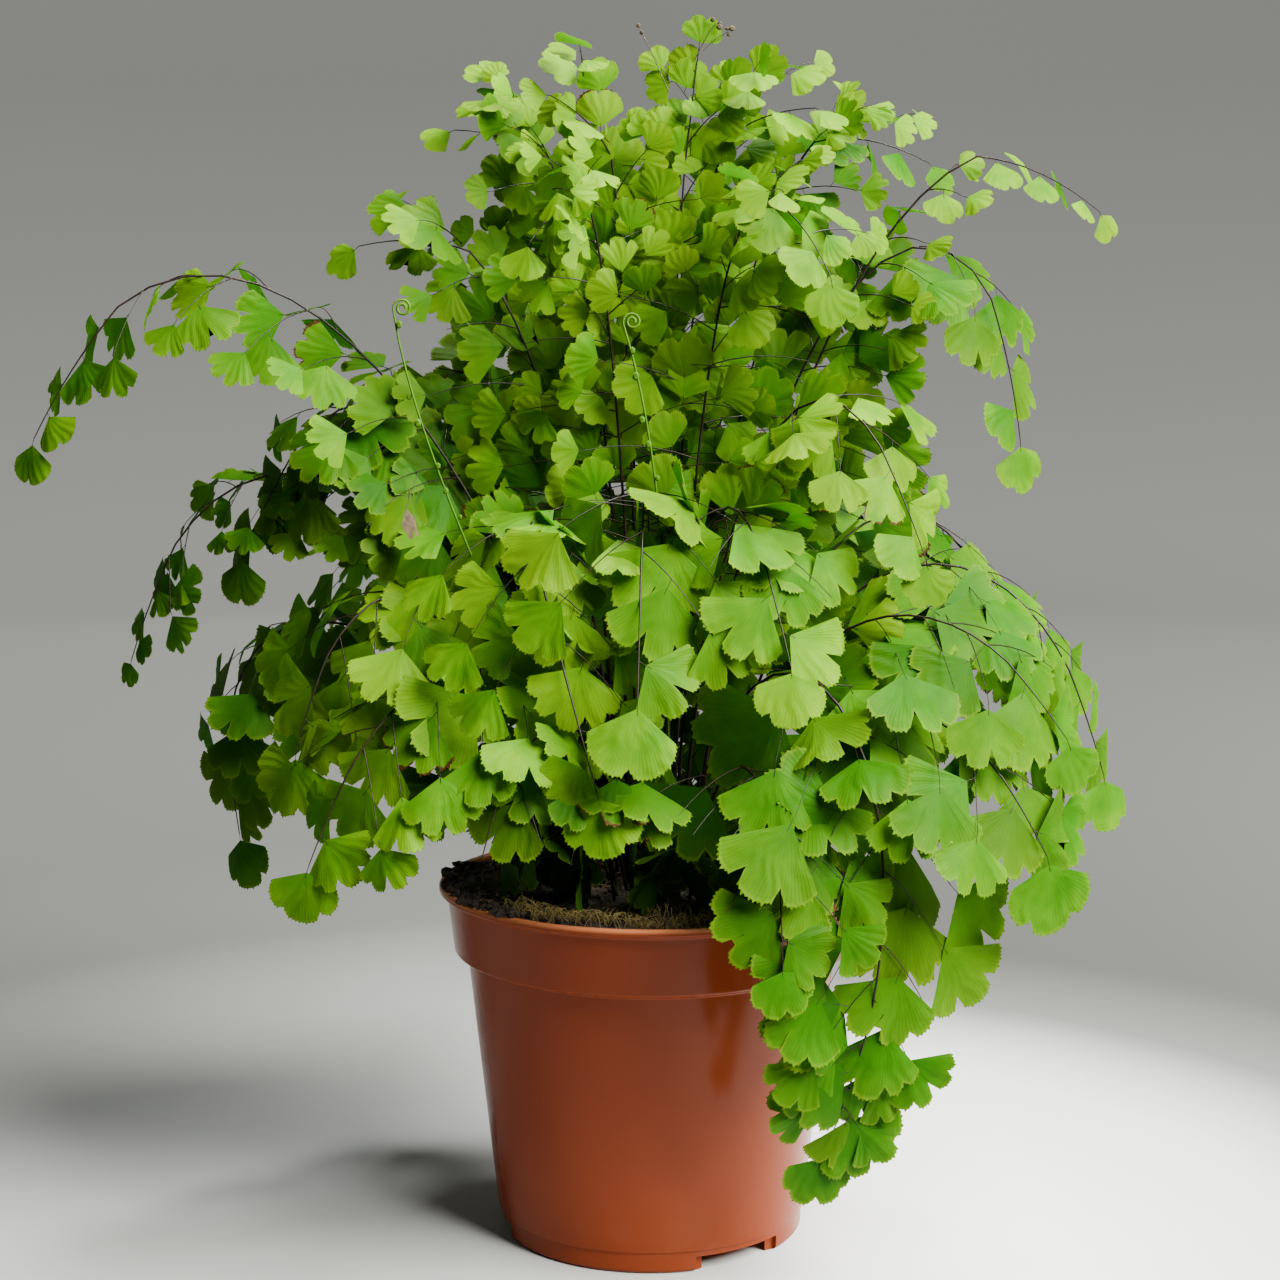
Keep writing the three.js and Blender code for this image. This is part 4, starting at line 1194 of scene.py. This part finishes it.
# %% [markdown]
# ## The soil
#
# The peat fills the pot to just under its lip, and a little heap at the left reaches the lip itself.
# Its section is spun too, and its top is then roughened with noise: broad waves and small clods. Loose
# crumbs lie on it, at the left on the lip too, with fibres of golden moss, thickest along the front.

# %% Soil body
SOIL_GAP = 0.35
SOIL_BUMP = 1.3
SOIL_RISE = 2.4
SOIL_RINGS = 26
SOIL_STEPS = 96
HEAP_HEIGHT = 4.5
HEAP_PLACE = (-40, 4)
HEAP_RADIUS = 24


def soil_height(x, y):
    radius = math.hypot(x, y)
    wave = SOIL_BUMP * math.sin(x * 0.13 + 1) * math.cos(y * 0.16 - 0.6) * min(1, radius / 30)
    clods = noise.noise(Vector((x, y, 3)) * 0.22) * 1.1 + noise.noise(Vector((x, y, 9)) * 0.7) * 0.7
    away = math.hypot(x - HEAP_PLACE[0], y - HEAP_PLACE[1]) / HEAP_RADIUS
    return SOIL_TOP + SOIL_RISE + wave + clods + HEAP_HEIGHT * math.exp(-away * away)


def soil_body():
    foot = BODY_FOOT_RADIUS - WALL - SOIL_GAP
    top = BODY_TOP_RADIUS - WALL - SOIL_GAP
    band = BAND_FOOT_RADIUS - WALL - SOIL_GAP
    section = [
        (0, FLOOR_THICKNESS + SOIL_GAP, 0),
        (CENTRE_DISC_RADIUS - 2, FLOOR_THICKNESS + SOIL_GAP, 0),
        (CENTRE_DISC_RADIUS + 0.2, SKIRT_HEIGHT + SOIL_GAP, 0),
        (foot - 1.7, SKIRT_HEIGHT + SOIL_GAP, 0),
        (foot, SKIRT_HEIGHT + 2, 0),
        (top, BODY_TOP_HEIGHT + 0.8 + SOIL_GAP, 0),
        (band, BAND_FOOT_HEIGHT + 0.8 + SOIL_GAP, 0),
        (band + 1.3, SOIL_TOP - 2.5, 0),
    ]
    section += [((band + 1.2) * (1 - i / SOIL_RINGS), SOIL_TOP, 0) for i in range(SOIL_RINGS + 1)]
    bm = spun(section, SOIL_STEPS)
    for v in bm.verts:
        if v.co.z > SOIL_TOP - 0.01:
            v.co.z = soil_height(v.co.x, v.co.y)
    make_smooth(bm.faces)
    return bm


soil = finish_piece("peat_soil", soil_body(), [peat], ["soil"])

# %% Crumbs, fibres and moss
LIP_INSIDE = 57
CRUMBS = 1500
SPILT_CRUMBS = 260
SPILT_DEGREES = (158, 232)
FIBRES = 300
FIBRE_RISE = 1.6
MOSS_RISE = 3.6
# the moss lies outside this radius, between these two compass angles
FRONT_MOSS = (42, -140, -40)
ground_draw = make_random(515)


def spot_on_soil(inner=0, first=0, last=360):
    radius = inner + (LIP_INSIDE - inner) * math.sqrt(ground_draw())
    x, y = around(math.radians(between(ground_draw, first, last)), radius)
    return Vector((x, y, soil_height(x, y)))


def spot_on_lip():
    angle = math.radians(between(ground_draw, *SPILT_DEGREES))
    radius = between(ground_draw, LIP_INSIDE + 0.5, LIP_RADIUS - 0.6)
    height = max(POT_HEIGHT, soil_height(*around(angle, LIP_INSIDE)))
    return Vector((*around(angle, radius), height))


def crumbs(count, lip_count):
    bm = bmesh.new()
    for i in range(count + lip_count):
        place = spot_on_soil() if i < count else spot_on_lip()
        size = 0.45 + 1.5 * ground_draw() ** 3
        made = bmesh.ops.create_icosphere(bm, subdivisions=1, radius=size)
        for v in made["verts"]:
            v.co *= between(ground_draw, 0.7, 1.25)
        flatten = Matrix.Diagonal((1, between(ground_draw, 0.6, 1.0), between(ground_draw, 0.45, 0.8), 1))
        turn = Matrix.Rotation(2 * math.pi * ground_draw(), 4, "Z")
        placing = Matrix.Translation(place + UP * (0.15 * size)) @ turn @ flatten
        bmesh.ops.transform(bm, matrix=placing, verts=made["verts"])
    return bm


def fibre_lines(count, rise, *region):
    lines = []
    for _ in range(count):
        place = spot_on_soil(*region)
        angle = 2 * math.pi * ground_draw()
        step = Vector((*around(angle), 0)) * between(ground_draw, 0.8, 1.8)
        line = []
        for i in range(6):
            angle += between(ground_draw, -0.6, 0.6)
            step = Vector((*around(angle), 0)) * step.length
            place = place + step
            if math.hypot(place.x, place.y) > LIP_INSIDE + 3:
                break
            height = soil_height(place.x, place.y) + rise * math.sin(math.pi * i / 5)
            line.append((Vector((place.x, place.y, height)), 0.1 + 0.06 * ground_draw()))
        if len(line) > 2:
            lines.append(line)
    return lines


crumb_piece = finish_piece("peat_crumbs", crumbs(CRUMBS, SPILT_CRUMBS), [peat])
fibres = bmesh.new()
tangle = fibre_lines(FIBRES, FIBRE_RISE) + fibre_lines(FIBRES, MOSS_RISE, *FRONT_MOSS)
add_tubes(fibres, "fibres", tangle, 0, 0)
fibre_piece = finish_piece("moss_fibres", fibres, [moss])
print("crumb faces", len(crumb_piece.data.polygons), "fibre faces", len(fibre_piece.data.polygons))

# %% [markdown]
# ## Floor, light and camera
#
# The plant stands on pale studio paper: a wide round bowl, flat under the pot and curved up all round,
# so that every view ends in it. Light and shade are painted into the paper's grey: it is a little
# greyer with distance, as the light falls off, and differently on the shaded left and the lit right,
# which paints the plant's shadow beside the pot. Its front is greyer too, which keeps pale reflections
# off the pot. One large soft light from the front right is the key, a narrow one from above and behind
# shines through the crown, and a weak grey sky opens the shadows.

# %% Floor
BOWL_FLAT = 1.7
BOWL_RADIUS = 2.7
BOWL_HEIGHT = 1.7
BOWL_STEPS = 96

# shares of the bowl's radius and the paper's grey there, with painted light and shade, on the shaded and
# on the lit side
FLOOR_GREYS_AND_PAINTED_LIGHT = [
    [(0.05, 0.36), (0.10, 0.33), (0.15, 0.15), (0.22, 0.15), (0.60, 0.31), (0.76, 0.25), (1.0, 0.155)],
    [(0.05, 0.88), (0.076, 0.76), (0.104, 0.18), (0.135, 0.09), (0.60, 0.225), (0.76, 0.225), (1.0, 0.16)],
]


def paper(grey):
    return grey, grey * 1.03, grey * 0.985


def floor_material():
    material, tree, surface = new_material("studio_floor")
    place = object_place(tree)
    distance = add_node(tree, "VectorMath", {0: place}, operation="LENGTH").outputs["Value"]
    grain = times(tree, object_noise(tree, 3.0, 2.0), 0.008)
    share = maths(tree, "ADD", times(tree, distance, 1 / BOWL_RADIUS), grain)
    along = add_node(tree, "SeparateXYZ", {0: place})
    # painted shadow and light: the shaded list is used on the left, the lit list on the right
    lit_side = fade(tree, maths(tree, "ADD", along.outputs[0], 0.5), 0.40, 0.62)
    shaded, lit = (ramp(tree, share, [(at, paper(grey)) for at, grey in greys]) for greys in FLOOR_GREYS_AND_PAINTED_LIGHT)
    colour = mix_colours(tree, lit_side, shaded, lit)
    back = maths(tree, "ADD", times(tree, along.outputs[1], 0.5), 0.5)
    behind = ramp(tree, back, [(0.36, (0.25, 0.25, 0.25)), (0.46, (1, 1, 1))])
    colour = mix_colours(tree, 1.0, colour, behind, "MULTIPLY")
    finish_surface(tree, surface, colour, 0.6, 0.2)
    return material


def studio_bowl():
    bend = BOWL_RADIUS - BOWL_FLAT
    turns = [math.radians(angle) for angle in range(0, 91, 6)]
    curve = [(BOWL_FLAT + bend * math.sin(turn), bend * (1 - math.cos(turn)), 0) for turn in turns]
    bm = spun([(0, 0, 0), (BOWL_FLAT * 0.5, 0, 0), *curve, (BOWL_RADIUS, BOWL_HEIGHT, 0)], BOWL_STEPS)
    bmesh.ops.reverse_faces(bm, faces=bm.faces)
    make_smooth(bm.faces)
    return bm


floor = add_object("floor", mesh_from("floor", studio_bowl()))
floor.data.materials.append(floor_material())
print("floor normal points up", floor.data.polygons[0].normal.z > 0)

# %% Lights
world = bpy.data.worlds.new("studio_grey")
world.use_nodes = True
world.node_tree.nodes["Background"].inputs["Color"].default_value = (0.80, 0.83, 0.82, 1)
world.node_tree.nodes["Background"].inputs["Strength"].default_value = 0.07
bpy.context.scene.world = world


def soft_light(name, place, target, size, power, colour=(1, 1, 1), kind="AREA"):
    data = bpy.data.lights.new(name, kind)
    if kind == "AREA":
        data.shape = "DISK"
        data.size = size
    else:
        data.shadow_soft_size = size / 2
    data.energy = power
    data.color = colour
    lamp = add_object(name, data)
    lamp.location = place
    lamp.rotation_euler = (Vector(target) - Vector(place)).to_track_quat("-Z", "Y").to_euler()
    return lamp


# place and aim in metres, size in metres, power in watts
KEY = ((1.134, -0.681, 1.39), (0.02, 0, 0.2), 1.5, 254)
CROWN_SPOT = ((0.25, 0.3, 1.3), (0, 0, 0.32), 0.3, 200)
KEY_TINT = (1.0, 0.985, 0.95)
soft_light("key", *KEY, KEY_TINT)
crown_lamp = soft_light("crown", *CROWN_SPOT, kind="SPOT")
crown_lamp.data.spot_size = math.radians(15)
crown_lamp.data.spot_blend = 0.6
print("lights", [item.name for item in bpy.data.lights])

# %% Camera
FOCAL_LENGTH = 67.5
CAMERA_PLACE = (-0.0034, -0.723, 0.2745)
CAMERA_PITCH = 7.28
camera_data = bpy.data.cameras.new("camera")
camera_data.lens = FOCAL_LENGTH
camera_data.sensor_width = 36
camera_data.clip_start = 0.01
camera = add_object("camera", camera_data)
camera.location = CAMERA_PLACE
camera.rotation_euler = (math.radians(90 - CAMERA_PITCH), 0, 0)
bpy.context.scene.camera = camera
print("camera looks down by", CAMERA_PITCH, "degrees")

# %% [markdown]
# ## Finish
#

# %% Update the view layer
bpy.context.view_layer.update()
